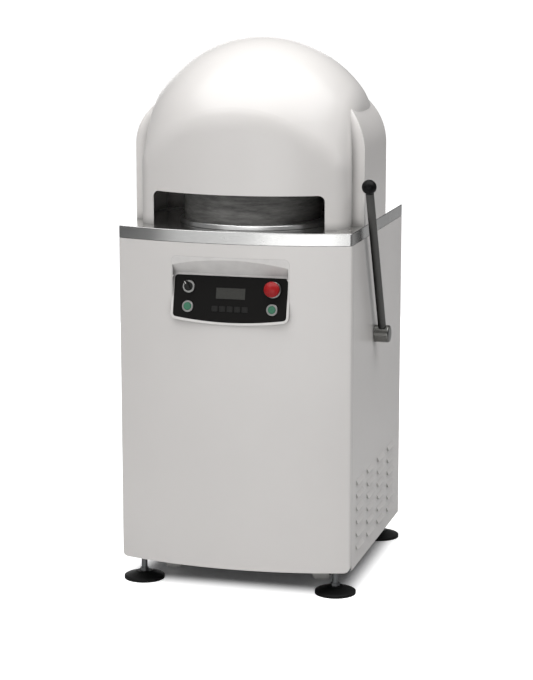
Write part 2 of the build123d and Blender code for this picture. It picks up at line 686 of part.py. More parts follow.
def roller_axle(place):
    x, y = place
    outer = ROLLER_WIDTH / 2 + ROLLER_SIDE_GAP + BRACKET_SHEET
    axle = crosswise(AXLE_DIAMETER / 2, y, ROLLER_Z, x - outer, x + outer)
    axle += crosswise(AXLE_HEAD_RADIUS, y, ROLLER_Z, x - outer - AXLE_HEAD, x - outer)
    return axle + crosswise(AXLE_HEAD_RADIUS, y, ROLLER_Z, x + outer, x + outer + AXLE_HEAD)


def roller_mounts():
    mounts = []
    for place in ROLLER_PLACES.values():
        mounts.append(roller_bracket(place))
        mounts.append(roller_axle(place))
    return mounts


def transport_roller(place):
    x, y = place
    roller = crosswise(ROLLER_RADIUS, y, ROLLER_Z, x - ROLLER_WIDTH / 2, x + ROLLER_WIDTH / 2)
    roller = chamfer(roller.edges().filter_by(GeomType.CIRCLE), ROLLER_CHAMFER)
    bore = AXLE_DIAMETER / 2 + RUNNING_FIT
    return roller - crosswise(bore, y, ROLLER_Z, x - ROLLER_WIDTH, x + ROLLER_WIDTH)


# Control panel

def control_outline(grow):
    """The fascia's outline on its own plane: straight at the top, with an arched lower edge."""
    half = CONTROL_WIDTH / 2 + grow
    side_foot = -CONTROL_SIDE_HEIGHT - grow
    edge = [
        Line((-half, grow), (half, grow)),
        Line((half, grow), (half, side_foot)),
        ThreePointArc((half, side_foot), (0, side_foot - CONTROL_SAG), (-half, side_foot)),
        Line((-half, side_foot), (-half, grow)),
    ]
    outline = make_face(edge)
    return fillet(outline.vertices(), CONTROL_CORNER + grow)


def control_slab(grow, w0, w1):
    return extrude(CONTROL_FACE * Pos(0, 0, w0) * control_outline(grow), w1 - w0)


def on_control(place, radius, w0, w1):
    """A round piece square to the fascia, from one height over its face to another."""
    return CONTROL_FACE.location * Pos(place[0], place[1], (w0 + w1) / 2) * Cylinder(radius, w1 - w0)


def control_box(place, width, height, w0, w1):
    return CONTROL_FACE.location * Pos(place[0], place[1], (w0 + w1) / 2) * Box(width, height, w1 - w0)


def control_recess():
    """What is scooped out in front of the tilted lip and of the brow that slopes down to it."""
    lip_top = CONTROL_FACE.from_local_coords((0, HOUSING_LIP, HOUSING_LIP_RISE))
    lip_foot = CONTROL_FACE.from_local_coords((0, -2 * CONTROL_SIDE_HEIGHT, HOUSING_LIP_RISE))
    run = MID_FRONT_Y - lip_top.Y
    rise = BROW_TOP_Z - lip_top.Z
    ahead = lip_foot.Y - HOUSING_DEPTH
    scoop = side_profile(
        [
            (lip_top.Y, lip_top.Z),
            (lip_top.Y + 2 * run, lip_top.Z + 2 * rise),
            (ahead, lip_top.Z + 2 * rise),
            (ahead, lip_foot.Z),
            (lip_foot.Y, lip_foot.Z),
        ],
        -CONTROL_WIDTH,
        CONTROL_WIDTH,
    )
    return scoop & housing_opening(-HOUSING_WALL)


def control_housing():
    """A moulded tray for the fascia, walled up to the front panel, with a flange behind the panel."""
    lip_face = CONTROL_FACE * Pos(0, 0, HOUSING_LIP_RISE) * control_outline(HOUSING_LIP)
    tray = extrude(lip_face, HOUSING_DEPTH, dir=(0, 1, 0))
    flange_half = CONTROL_WIDTH / 2 + HOUSING_LIP + HOUSING_FLANGE
    foot = CONTROL_FACE.from_local_coords((0, -CONTROL_SIDE_HEIGHT - CONTROL_SAG, 0)).Z - HOUSING_FLANGE
    top = BROW_TOP_Z + BROW_RIM + HOUSING_FLANGE
    back = CONTROL_TOP_Y + HOUSING_DEPTH
    walls = housing_opening(0) & cabinet_block(0, foot, top)
    walls &= block(-flange_half, flange_half, MID_FRONT_Y, back, foot, top)
    flange = block(-flange_half, flange_half, MID_FRONT_Y, back, foot, top)
    flange &= cabinet_block(SHEET, foot, top) - cabinet_block(SHEET + HOUSING_WALL, foot, top)
    body = tray + (walls - control_recess()) + (flange - housing_opening(-FIT_GAP))
    body -= control_slab(FIT_GAP / 2, -CONTROL_PLATE, HOUSING_LIP_RISE)
    seat_back = -CONTROL_PLATE - HOUSING_WALL
    hollow_face = CONTROL_FACE * Pos(0, 0, seat_back) * control_outline(-HOUSING_WALL)
    body -= extrude(hollow_face, 2 * HOUSING_DEPTH, dir=(0, 1, 0))
    block_room = SWITCH_BLOCK_SIDE + 2 * SEAM
    for place in SWITCH_PLACES.values():
        body -= on_control(place, SWITCH_BARREL_RADIUS, seat_back, 0)
        body -= control_box(place, block_room, block_room, -2 * HOUSING_DEPTH, -SWITCH_BARREL_LENGTH + SEAM)
    return body


def control_fascia():
    fascia = control_slab(0, -CONTROL_PLATE, 0)
    for place in SWITCH_PLACES.values():
        fascia -= on_control(place, SWITCH_BARREL_RADIUS, -CONTROL_PLATE, 0)
    width = DISPLAY_WIDTH + FIT_GAP
    height = DISPLAY_HEIGHT + FIT_GAP
    return fascia - control_box((0, -DISPLAY_DOWN), width, height, -CONTROL_PLATE, 0)


def display_window():
    return control_box((0, -DISPLAY_DOWN), DISPLAY_WIDTH, DISPLAY_HEIGHT, -CONTROL_PLATE, -DISPLAY_SUNK)


def switch_body(name):
    """A 22 mm switch barrel through the fascia, its nut and the contact block behind."""
    place = SWITCH_PLACES[name]
    seat_back = -CONTROL_PLATE - HOUSING_WALL
    nut_back = seat_back - SWITCH_NUT_HEIGHT
    body = on_control(place, SWITCH_BARREL_RADIUS, -SWITCH_BARREL_LENGTH, 0)
    body += on_control(place, SWITCH_NUT_RADIUS, nut_back, seat_back)
    block_back = -SWITCH_BARREL_LENGTH - SWITCH_BLOCK_DEPTH
    body += control_box(place, SWITCH_BLOCK_SIDE, SWITCH_BLOCK_SIDE, block_back, -SWITCH_BARREL_LENGTH)
    if name == "estop":
        return body - on_control(place, ESTOP_STEM_RADIUS + RUNNING_FIT, -SWITCH_BARREL_LENGTH, 0)
    if name != "selector":
        body -= on_control(place, BUTTON_RADIUS + FIT_GAP, -BUTTON_SKIRT - BUTTON_TRAVEL - SEAM, 0)
    return body - on_control(place, BUTTON_STEM_RADIUS + RUNNING_FIT, -SWITCH_BARREL_LENGTH, 0)


def button_bezels():
    rings = []
    for name in ("start_left", "start_right"):
        place = SWITCH_PLACES[name]
        ring = on_control(place, BEZEL_RADIUS, 0, BEZEL_HEIGHT)
        ring = chamfer(ring.edges().filter_by(GeomType.CIRCLE).sort_by(Axis.Z)[-1], BEZEL_EDGE)
        rings.append(ring - on_control(place, BUTTON_RADIUS + 2 * FIT_GAP, 0, BEZEL_HEIGHT))
    place = SWITCH_PLACES["selector"]
    ring = on_control(place, SELECTOR_RING_RADIUS, 0, SELECTOR_RING_HEIGHT)
    ring = chamfer(ring.edges().filter_by(GeomType.CIRCLE).sort_by(Axis.Z)[-1], SELECTOR_RING_EDGE)
    rings.append(ring - on_control(place, SELECTOR_DISC_RADIUS + 2 * FIT_GAP, 0, SELECTOR_RING_HEIGHT))
    place = SWITCH_PLACES["estop"]
    ring = on_control(place, ESTOP_COLLAR_RADIUS, 0, ESTOP_COLLAR_HEIGHT)
    rings.append(ring - on_control(place, ESTOP_STEM_RADIUS + 2 * FIT_GAP, 0, ESTOP_COLLAR_HEIGHT))
    return rings


def start_button(name):
    place = SWITCH_PLACES[name]
    cap = on_control(place, BUTTON_RADIUS, -BUTTON_SKIRT, BUTTON_PROUD)
    cap = fillet(cap.edges().filter_by(GeomType.CIRCLE).sort_by(Axis.Z)[-1], BUTTON_EDGE)
    stem_end = -SWITCH_BARREL_LENGTH + BUTTON_TRAVEL + SEAM
    return cap + on_control(place, BUTTON_STEM_RADIUS, stem_end, -BUTTON_SKIRT)


def estop_button():
    """A mushroom head: a straight edge under a shallow crown, on a stem."""
    place = SWITCH_PLACES["estop"]
    stem_end = -SWITCH_BARREL_LENGTH + ESTOP_TRAVEL + SEAM
    edge_top = ESTOP_UNDERSIDE + ESTOP_EDGE
    crown_top = edge_top + ESTOP_CROWN
    crown_radius = (ESTOP_RADIUS ** 2 + ESTOP_CROWN ** 2) / (2 * ESTOP_CROWN)
    half_turn = asin(ESTOP_RADIUS / crown_radius) / 2
    crown_mid = (crown_radius * sin(half_turn), crown_top - crown_radius * (1 - cos(half_turn)))
    outline = make_face(
        [
            Polyline((0, crown_top), (0, stem_end), (ESTOP_STEM_RADIUS, stem_end)),
            Polyline((ESTOP_STEM_RADIUS, stem_end), (ESTOP_STEM_RADIUS, ESTOP_UNDERSIDE)),
            Polyline((ESTOP_STEM_RADIUS, ESTOP_UNDERSIDE), (ESTOP_RADIUS, ESTOP_UNDERSIDE)),
            Line((ESTOP_RADIUS, ESTOP_UNDERSIDE), (ESTOP_RADIUS, edge_top)),
            ThreePointArc((ESTOP_RADIUS, edge_top), crown_mid, (0, crown_top)),
        ]
    )
    mushroom = revolve(Plane.XZ * outline, Axis.Z)
    return CONTROL_FACE.location * Pos(place[0], place[1], 0) * mushroom


def selector_knob():
    place = SWITCH_PLACES["selector"]
    knob = on_control(place, SELECTOR_DISC_RADIUS, FIT_GAP, SELECTOR_DISC_HEIGHT)
    length = SELECTOR_GRIP_TAIL + SELECTOR_GRIP_REACH
    grip = SlotOverall(length, SELECTOR_GRIP_WIDTH, rotation=90)
    grip = Pos(0, length / 2 - SELECTOR_GRIP_TAIL, SELECTOR_DISC_HEIGHT) * extrude(grip, SELECTOR_GRIP_HEIGHT)
    knob += CONTROL_FACE.location * Pos(*place, 0) * Rot(0, 0, SELECTOR_TURN) * grip
    stem_end = -SWITCH_BARREL_LENGTH + SEAM
    return knob + on_control(place, BUTTON_STEM_RADIUS, stem_end, FIT_GAP)


# Hood and rear cover

def hood_half_plan(inset, back_y):
    """Half of the hood's outline from above: bowed front, rounded corner, straight side."""
    half = HOOD_HALF_WIDTH - inset
    front_radius = HOOD_FRONT_RADIUS - inset
    corner_radius = HOOD_CORNER_RADIUS - inset
    centre_y = HOOD_FRONT_Y + HOOD_FRONT_RADIUS
    corner_x = HOOD_HALF_WIDTH - HOOD_CORNER_RADIUS
    reach = HOOD_FRONT_RADIUS - HOOD_CORNER_RADIUS
    drop = sqrt(reach ** 2 - corner_x ** 2)
    corner_y = centre_y - drop
    turn = atan2(corner_x, drop)
    front = (0, centre_y - front_radius)
    joint = (front_radius * sin(turn), centre_y - front_radius * cos(turn))
    front_mid = (front_radius * sin(turn / 2), centre_y - front_radius * cos(turn / 2))
    bisector = (turn + pi / 2) / 2
    corner_mid = (corner_x + corner_radius * sin(bisector), corner_y - corner_radius * cos(bisector))
    edge = [
        ThreePointArc(front, front_mid, joint),
        ThreePointArc(joint, corner_mid, (half, corner_y)),
        Line((half, corner_y), (half, back_y)),
        Line((half, back_y), (0, back_y)),
        Line((0, back_y), front),
    ]
    return make_face(edge)


def dome(inset, foot_z):
    """A ball's cap that passes into a steeper skirt, turned about an upright axis."""
    radius = DOME_RADIUS - inset
    skirt_radius = SKIRT_RADIUS - inset
    joint_angle = radians(SKIRT_ANGLE)
    skirt_x = (DOME_RADIUS - SKIRT_RADIUS) * cos(joint_angle)
    skirt_z = DOME_Z + (DOME_RADIUS - SKIRT_RADIUS) * sin(joint_angle)
    foot_angle = asin((foot_z - skirt_z) / skirt_radius)
    skirt_angle = (joint_angle + foot_angle) / 2
    crown_angle = acos(DOME_FLAT / radius)
    cap_angle = (joint_angle + crown_angle) / 2
    foot = (skirt_x + skirt_radius * cos(foot_angle), foot_z)
    skirt_mid = (skirt_x + skirt_radius * cos(skirt_angle), skirt_z + skirt_radius * sin(skirt_angle))
    joint = (radius * cos(joint_angle), DOME_Z + radius * sin(joint_angle))
    cap_mid = (radius * cos(cap_angle), DOME_Z + radius * sin(cap_angle))
    crown = (DOME_FLAT, DOME_Z + radius * sin(crown_angle))
    edge = [
        Polyline(crown, (0, crown[1]), (0, foot_z), foot),
        ThreePointArc(foot, skirt_mid, joint),
        ThreePointArc(joint, cap_mid, crown),
    ]
    return Pos(0, DOME_Y, 0) * revolve(Plane.XZ * make_face(edge), Axis.Z)


def hood_form(inset, foot_z):
    """Upright walls under the dome, with the ridge between them rounded."""
    back_y = COVER_BACK_Y - inset
    half = extrude(Pos(0, 0, foot_z) * hood_half_plan(inset, back_y), DOME_TOP_Z - foot_z)
    walls = half + mirror(half, Plane.YZ)
    cap = dome(inset, foot_z)
    form = walls & cap
    ridge = new_edges(walls, cap, combined=form).filter_by_position(Axis.Y, HOOD_FRONT_Y, back_y - SEAM)
    return fillet(ridge, HOOD_RIDGE_ROUND - inset)


def hood_shell():
    return hood_form(0, WORKTOP_HEIGHT) - hood_form(HOOD_WALL, WORKTOP_HEIGHT - HOOD_WALL)


def behind_hood(foot_z):
    """The space behind the hood's open back."""
    return block(-HALF_WIDTH, HALF_WIDTH, COVER_FRONT_Y, COVER_BACK_Y, foot_z, DOME_TOP_Z)


def front_hood():
    window = Pos(0, WORKTOP_HEIGHT + WINDOW_HEIGHT / 2) * Rectangle(2 * WINDOW_HALF_WIDTH, WINDOW_HEIGHT)
    window = fillet(window.vertices().sort_by(Axis.Y)[-2:], WINDOW_CORNER)
    inside_y = HOOD_FRONT_Y + HOOD_CORNER_RADIUS + 2 * FRONT_BOW
    shell = hood_shell() - behind_hood(WORKTOP_HEIGHT)
    return shell - front_profile(window, HOOD_FRONT_Y - HOOD_WALL, inside_y)


def cheek_form(inset, foot_z):
    """The wider cheeks: round shoulders seen from the front and a round brow seen from the side."""
    half = COVER_HALF_WIDTH - inset
    front_y = COVER_FRONT_Y + inset
    back_y = COVER_BACK_Y - inset
    height = COVER_TOP_Z - inset - foot_z
    across = Pos(0, foot_z + height / 2) * Rectangle(2 * half, height)
    across = fillet(across.vertices().sort_by(Axis.Y)[-2:], COVER_SHOULDER_RADIUS - inset)
    along = Pos((front_y + back_y) / 2, foot_z + height / 2) * Rectangle(back_y - front_y, height)
    brow = along.vertices().sort_by(Axis.Y)[-2:].sort_by(Axis.X)[0]
    along = fillet(brow, COVER_BROW_RADIUS - inset)
    side = Plane(origin=(-half, 0, 0), x_dir=(0, 1, 0), z_dir=(1, 0, 0)) * along
    return front_profile(across, front_y, back_y) & extrude(side, 2 * half)


def rear_cover():
    foot = WORKTOP_HEIGHT - HOOD_WALL
    outside = cheek_form(0, WORKTOP_HEIGHT) + (hood_form(0, WORKTOP_HEIGHT) & behind_hood(WORKTOP_HEIGHT))
    return outside - cheek_form(HOOD_WALL, foot) - hood_form(HOOD_WALL, foot)


# Orbital drive

def main_housing():
    axis = (0, HEAD_Y)
    body = upright(HOUSING_FOOT_RADIUS, axis, DECK_TOP, DECK_TOP + HOUSING_FOOT)
    body += upright(HOUSING_BARREL_RADIUS, axis, DECK_TOP, HOUSING_TOP)
    body += upright(SPIDER_RADIUS, axis, HOUSING_TOP - SPIDER_THICKNESS, HOUSING_TOP)
    for place in SATELLITE_PLACES.values():
        body += upright(SATELLITE_BOSS_RADIUS, place, HOUSING_TOP - SATELLITE_BOSS, HOUSING_TOP)
        body -= upright(SATELLITE_JOURNAL / 2 + RUNNING_FIT, place, DECK_TOP, HOUSING_TOP)
    body -= upright(BEARING_RADIUS - BEARING_LIP, axis, DECK_TOP, HOUSING_TOP)
    body -= upright(BEARING_RADIUS, axis, DECK_TOP, LOWER_BEARING_BOTTOM + BEARING_WIDTH)
    return body - upright(BEARING_RADIUS, axis, UPPER_BEARING_BOTTOM, HOUSING_TOP)


def main_bearing(z0):
    axis = (0, HEAD_Y)
    ring = upright(BEARING_RADIUS, axis, z0, z0 + BEARING_WIDTH)
    return ring - upright(SHAFT_DIAMETER / 2 + RUNNING_FIT, axis, z0, z0 + BEARING_WIDTH)


def eccentric_shaft():
    axis = (0, HEAD_Y)
    shaft = upright(SHAFT_DIAMETER / 2, axis, SHAFT_BOTTOM, CRANK_BOTTOM)
    shaft += upright(SHAFT_SHOULDER_RADIUS, axis, UPPER_BEARING_TOP + RUNNING_FIT, CRANK_BOTTOM)
    shaft += upright(CRANK_RADIUS, axis, CRANK_BOTTOM, CRANK_TOP)
    weight = upright(COUNTERWEIGHT_RADIUS, axis, CRANK_BOTTOM, CRANK_TOP)
    front = HEAD_Y - CRANK_RADIUS
    back = HEAD_Y + CRANK_RADIUS
    shaft += weight & block(-COUNTERWEIGHT_RADIUS, -ECCENTRICITY, front, back, CRANK_BOTTOM, CRANK_TOP)
    shaft += upright(CRANK_PIN_DIAMETER / 2, TABLE_CENTRE, CRANK_TOP, TABLE_BOTTOM - 2 * SEAM)
    reach = SHAFT_DIAMETER / 2 + KEY_HEIGHT
    half = KEY_WIDTH / 2
    return shaft + block(-reach, reach, HEAD_Y - half, HEAD_Y + half, SHAFT_BOTTOM, SOCKET_BOTTOM)


def shaft_collar():
    axis = (0, HEAD_Y)
    top = SOCKET_TOP - FIT_GAP
    ring = upright(COLLAR_RADIUS, axis, top - COLLAR_HEIGHT, top)
    return ring - upright(SHAFT_DIAMETER / 2, axis, top - COLLAR_HEIGHT, top)


def satellite_crank(letter):
    place = SATELLITE_PLACES[letter]
    disc_bottom = HOUSING_TOP + SATELLITE_DISC_LIFT
    disc_top = disc_bottom + SATELLITE_DISC
    crank = upright(SATELLITE_JOURNAL / 2, place, HOUSING_TOP - SATELLITE_BOSS, disc_bottom)
    crank += upright(SATELLITE_COLLAR_RADIUS, place, HOUSING_TOP + FIT_GAP, disc_bottom)
    crank += upright(SATELLITE_DISC_RADIUS, place, disc_bottom, disc_top)
    pin = (place[0] + ECCENTRICITY, place[1])
    return crank + upright(SATELLITE_PIN / 2, pin, disc_top, TABLE_BOTTOM - 2 * SEAM)


def orbit_table():
    """The orbiting table: a disc with a hub on the crank pin and three bosses on the satellites."""
    table = upright(TABLE_RADIUS, TABLE_CENTRE, TABLE_BOTTOM, TABLE_TOP)
    hub_bottom = CRANK_TOP + FIT_GAP
    table += upright(TABLE_HUB_RADIUS, TABLE_CENTRE, hub_bottom, TABLE_BOTTOM)
    boss_bottom = HOUSING_TOP + SATELLITE_DISC_LIFT + SATELLITE_DISC + FIT_GAP
    for place in SATELLITE_PLACES.values():
        pin = (place[0] + ECCENTRICITY, place[1])
        table += upright(TABLE_BOSS_RADIUS, pin, boss_bottom, TABLE_BOTTOM)
        table -= upright(SATELLITE_PIN / 2 + RUNNING_FIT, pin, boss_bottom, TABLE_BOTTOM)
    table -= upright(CRANK_PIN_DIAMETER / 2 + RUNNING_FIT, TABLE_CENTRE, hub_bottom, TABLE_BOTTOM)
    for side in (-1, 1):
        pin = (TABLE_CENTRE[0] + side * LOCATOR_X, TABLE_CENTRE[1] + LOCATOR_Y)
        table += upright(LOCATOR_DIAMETER / 2, pin, TABLE_TOP, TABLE_TOP + LOCATOR_HEIGHT)
    return table


def moulding_plate():
    """The loose round plate, with two grooves underneath that run back from its locating pins."""
    plate = upright(PLATE_RADIUS, TABLE_CENTRE, TABLE_TOP, PLATE_TOP)
    plate = fillet(plate.edges().filter_by(GeomType.CIRCLE).sort_by(Axis.Z)[-1], PLATE_EDGE_ROUND)
    width = LOCATOR_DIAMETER + 2 * FIT_GAP
    roof = TABLE_TOP + LOCATOR_HEIGHT + FIT_GAP
    for side in (-1, 1):
        x = TABLE_CENTRE[0] + side * LOCATOR_X
        y = TABLE_CENTRE[1] + LOCATOR_Y
        plate -= upright(width / 2, (x, y), TABLE_TOP, roof)
        plate -= block(x - width / 2, x + width / 2, y, y + 2 * PLATE_RADIUS, TABLE_TOP, roof)
    return plate


# Clutch, belt drive and lever

def driven_pulley():
    rim_top = PULLEY_BOTTOM + PULLEY_WIDTH
    groove_radius = PULLEY_RADIUS - PULLEY_GROOVE
    groove_bottom = PULLEY_BOTTOM + PULLEY_FLANGE
    groove_top = rim_top - PULLEY_FLANGE
    web_bottom = PULLEY_BOTTOM + (PULLEY_WIDTH - PULLEY_WEB) / 2
    rim_inner = groove_radius - PULLEY_RIM
    bore = SHAFT_DIAMETER / 2 + RUNNING_FIT
    taper = (SLEEVE_CONE_BASE_RADIUS - SLEEVE_CONE_TOP_RADIUS) / SLEEVE_CONE_HEIGHT
    mouth = SLEEVE_CONE_BASE_RADIUS + SLEEVE_CONE_GAP - taper * SEAM
    throat = mouth - taper * (SOCKET_TOP - SOCKET_BOTTOM)
    return turned(
        [
            (bore, SOCKET_TOP),
            (throat, SOCKET_TOP),
            (mouth, SOCKET_BOTTOM),
            (SOCKET_RADIUS, SOCKET_BOTTOM),
            (SOCKET_RADIUS, web_bottom),
            (rim_inner, web_bottom),
            (rim_inner, PULLEY_BOTTOM),
            (PULLEY_RADIUS, PULLEY_BOTTOM),
            (PULLEY_RADIUS, groove_bottom),
            (groove_radius, groove_bottom),
            (groove_radius, groove_top),
            (PULLEY_RADIUS, groove_top),
            (PULLEY_RADIUS, rim_top),
            (rim_inner, rim_top),
            (rim_inner, web_bottom + PULLEY_WEB),
            (PULLEY_HUB_RADIUS, web_bottom + PULLEY_WEB),
            (PULLEY_HUB_RADIUS, DECK_BOTTOM - PULLEY_HUB_GAP),
            (SHAFT_SHOULDER_RADIUS, DECK_BOTTOM - PULLEY_HUB_GAP),
            (SHAFT_SHOULDER_RADIUS, LOWER_BEARING_BOTTOM - FIT_GAP),
            (bore, LOWER_BEARING_BOTTOM - FIT_GAP),
        ],
        (0, HEAD_Y),
    )


def motor_pulley():
    rim_top = PULLEY_BOTTOM + PULLEY_WIDTH
    groove_radius = MOTOR_PULLEY_RADIUS - PULLEY_GROOVE
    return turned(
        [
            (MOTOR_SHAFT_DIAMETER / 2, PULLEY_BOTTOM - MOTOR_PULLEY_HUB),
            (MOTOR_PULLEY_HUB_RADIUS, PULLEY_BOTTOM - MOTOR_PULLEY_HUB),
            (MOTOR_PULLEY_HUB_RADIUS, PULLEY_BOTTOM),
            (MOTOR_PULLEY_RADIUS, PULLEY_BOTTOM),
            (MOTOR_PULLEY_RADIUS, PULLEY_BOTTOM + PULLEY_FLANGE),
            (groove_radius, PULLEY_BOTTOM + PULLEY_FLANGE),
            (groove_radius, rim_top - PULLEY_FLANGE),
            (MOTOR_PULLEY_RADIUS, rim_top - PULLEY_FLANGE),
            (MOTOR_PULLEY_RADIUS, rim_top),
            (MOTOR_SHAFT_DIAMETER / 2, rim_top),
        ],
        (0, MOTOR_Y),
    )


def motor_shaft():
    bottom = SHELF_BOTTOM - MOTOR_FLANGE - MOTOR_LENGTH / 2
    top = PULLEY_BOTTOM + PULLEY_WIDTH + MOTOR_SHAFT_PROUD
    return upright(MOTOR_SHAFT_DIAMETER / 2, (0, MOTOR_Y), bottom, top)


def belt_loop(large, small):
    """The outline of a belt round two pulleys: both circles and the strip between the tangents."""
    span = MOTOR_Y - HEAD_Y
    lean = asin((large - small) / span)
    tangents = [
        (large * cos(lean), HEAD_Y + large * sin(lean)),
        (small * cos(lean), MOTOR_Y + small * sin(lean)),
        (-small * cos(lean), MOTOR_Y + small * sin(lean)),
        (-large * cos(lean), HEAD_Y + large * sin(lean)),
    ]
    strip = make_face(Polyline(*tangents, close=True))
    return strip + Pos(0, HEAD_Y) * Circle(large) + Pos(0, MOTOR_Y) * Circle(small)


def drive_belt():
    large = PULLEY_RADIUS - PULLEY_GROOVE + FIT_GAP
    small = MOTOR_PULLEY_RADIUS - PULLEY_GROOVE + FIT_GAP
    band = belt_loop(large + BELT_THICKNESS, small + BELT_THICKNESS) - belt_loop(large, small)
    bottom = PULLEY_BOTTOM + PULLEY_FLANGE + FIT_GAP
    return Pos(0, 0, bottom) * extrude(band, PULLEY_WIDTH - 2 * PULLEY_FLANGE - 2 * FIT_GAP)


def drive_motor():
    axis = (0, MOTOR_Y)
    flange_bottom = SHELF_BOTTOM - MOTOR_FLANGE
    bottom = flange_bottom - MOTOR_LENGTH
    motor = upright(MOTOR_RADIUS, axis, bottom, flange_bottom)
    motor += upright(MOTOR_FLANGE_RADIUS, axis, flange_bottom, SHELF_BOTTOM)
    fin_bottom = bottom + FAN_COVER_LENGTH + MOTOR_FIN_GAP
    fin_top = flange_bottom - MOTOR_FIN_GAP
    reach = MOTOR_RADIUS + MOTOR_FIN_HEIGHT
    fin = block(0, reach, -MOTOR_FIN_THICKNESS / 2, MOTOR_FIN_THICKNESS / 2, fin_bottom, fin_top)
    motor += [Pos(0, MOTOR_Y, 0) * Rot(0, 0, turn * 360 / MOTOR_FINS) * fin for turn in range(MOTOR_FINS)]
    motor += upright(reach, axis, bottom, bottom + FAN_COVER_LENGTH)
    half = MOTOR_RADIUS / 2
    terminal_back = MOTOR_Y + MOTOR_RADIUS + half
    motor += block(-half, half, MOTOR_Y, terminal_back, fin_bottom, fin_bottom + MOTOR_RADIUS)
    shaft_bottom = flange_bottom - MOTOR_LENGTH / 2
    return motor - upright(MOTOR_SHAFT_DIAMETER / 2 + RUNNING_FIT, axis, shaft_bottom, SHELF_BOTTOM)


def clutch_sleeve():
    bore = SHAFT_DIAMETER / 2 + RUNNING_FIT
    groove_half = FORK_PIN_DIAMETER / 2 + FORK_PIN_GAP
    sleeve = turned(
        [
            (bore, SLEEVE_BOTTOM),
            (SLEEVE_GROOVE_RADIUS - SLEEVE_SKIRT / 2, SLEEVE_BOTTOM),
            (SLEEVE_GROOVE_RADIUS, SLEEVE_BOTTOM + SLEEVE_SKIRT),
            (SLEEVE_FLANGE_RADIUS, SLEEVE_BOTTOM + SLEEVE_SKIRT),
            (SLEEVE_FLANGE_RADIUS, LEVER_Z - groove_half),
            (SLEEVE_GROOVE_RADIUS, LEVER_Z - groove_half),
            (SLEEVE_GROOVE_RADIUS, LEVER_Z + groove_half),
            (SLEEVE_FLANGE_RADIUS, LEVER_Z + groove_half),
            (SLEEVE_FLANGE_RADIUS, SLEEVE_TOP - SLEEVE_CONE_HEIGHT),
            (SLEEVE_CONE_BASE_RADIUS, SLEEVE_TOP - SLEEVE_CONE_HEIGHT),
            (SLEEVE_CONE_TOP_RADIUS, SLEEVE_TOP),
            (SLEEVE_COUNTERBORE_RADIUS, SLEEVE_TOP),
            (SLEEVE_COUNTERBORE_RADIUS, SLEEVE_TOP - SLEEVE_COUNTERBORE),
            (bore, SLEEVE_TOP - SLEEVE_COUNTERBORE),
        ],
        (0, HEAD_Y),
    )
    way_half = SHAFT_DIAMETER / 2 + KEY_HEIGHT + FIT_GAP
    width = KEY_WIDTH / 2 + FIT_GAP
    return sleeve - block(-way_half, way_half, HEAD_Y - width, HEAD_Y + width, SLEEVE_BOTTOM, SLEEVE_TOP)


def shift_fork():
    outer = FORK_ARM_X + FORK_ARM_THICKNESS
    fork = crosswise(FORK_HUB_RADIUS, LEVER_Y, LEVER_Z, -outer, outer)
    half = FORK_ARM_HEIGHT / 2
    for x0, x1, pin_end in ((-outer, -FORK_ARM_X, -1), (FORK_ARM_X, outer, 1)):
        fork += block(x0, x1, HEAD_Y, LEVER_Y, LEVER_Z - half, LEVER_Z + half)
        fork += crosswise(half, HEAD_Y, LEVER_Z, x0, x1)
        pin_x = sorted((pin_end * (SLEEVE_GROOVE_RADIUS + FORK_PIN_TIP_GAP), pin_end * FORK_ARM_X))
        fork += crosswise(FORK_PIN_DIAMETER / 2, HEAD_Y, LEVER_Z, *pin_x)
    return fork - crosswise(LEVER_SHAFT_DIAMETER / 2, LEVER_Y, LEVER_Z, -outer, outer)


def lever_shaft():
    left = BLOCK_LEFT_X - BLOCK_WIDTH / 2 - LEVER_SHAFT_PROUD
    return crosswise(LEVER_SHAFT_DIAMETER / 2, LEVER_Y, LEVER_Z, left, HUB_END_X - LEVER_HUB_CAP)


def lever_rod():
    foot = Vector(LEVER_X, LEVER_Y, LEVER_Z) + LEVER_DIRECTION * LEVER_ROD_SEAT
    length = LEVER_LENGTH - LEVER_ROD_SEAT
    axis = Plane(origin=foot, x_dir=(1, 0, 0), z_dir=LEVER_DIRECTION)
    return extrude(axis * Circle(LEVER_ROD_DIAMETER / 2), length)


def lever_hub():
    hub = crosswise(LEVER_HUB_DIAMETER / 2, LEVER_Y, LEVER_Z, HUB_START_X, HUB_END_X)
    outer_rim = hub.edges().filter_by(GeomType.CIRCLE).sort_by(Axis.X)[-1]
    hub = fillet(outer_rim, LEVER_HUB_ROUND)
    hub -= crosswise(LEVER_SHAFT_DIAMETER / 2, LEVER_Y, LEVER_Z, HUB_START_X, HUB_END_X - LEVER_HUB_CAP)
    return hub - lever_rod()


def lever_knob():
    centre = Vector(LEVER_X, LEVER_Y, LEVER_Z) + LEVER_DIRECTION * LEVER_LENGTH
    return Pos(*centre) * Sphere(KNOB_DIAMETER / 2) - lever_rod()


def lever_bush():
    bush = crosswise(BUSH_RADIUS, LEVER_Y, LEVER_Z, HALF_WIDTH - BUSH_LENGTH, HALF_WIDTH)
    bush += crosswise(BUSH_FLANGE_RADIUS, LEVER_Y, LEVER_Z, INNER_X - BUSH_FLANGE, INNER_X)
    bore = LEVER_SHAFT_DIAMETER / 2 + RUNNING_FIT
    return bush - crosswise(bore, LEVER_Y, LEVER_Z, INNER_X - 2 * BUSH_LENGTH, HALF_WIDTH)


def lever_block(x):
    half = BLOCK_WIDTH / 2
    front = LEVER_Y - BLOCK_HALF_DEPTH
    back = LEVER_Y + BLOCK_HALF_DEPTH
    body = block(x - half, x + half, front, back, LEVER_Z, DECK_BOTTOM)
    body += crosswise(BLOCK_HALF_DEPTH, LEVER_Y, LEVER_Z, x - half, x + half)
    return body - crosswise(LEVER_SHAFT_DIAMETER / 2 + RUNNING_FIT, LEVER_Y, LEVER_Z, x - half, x + half)


# Dividing head

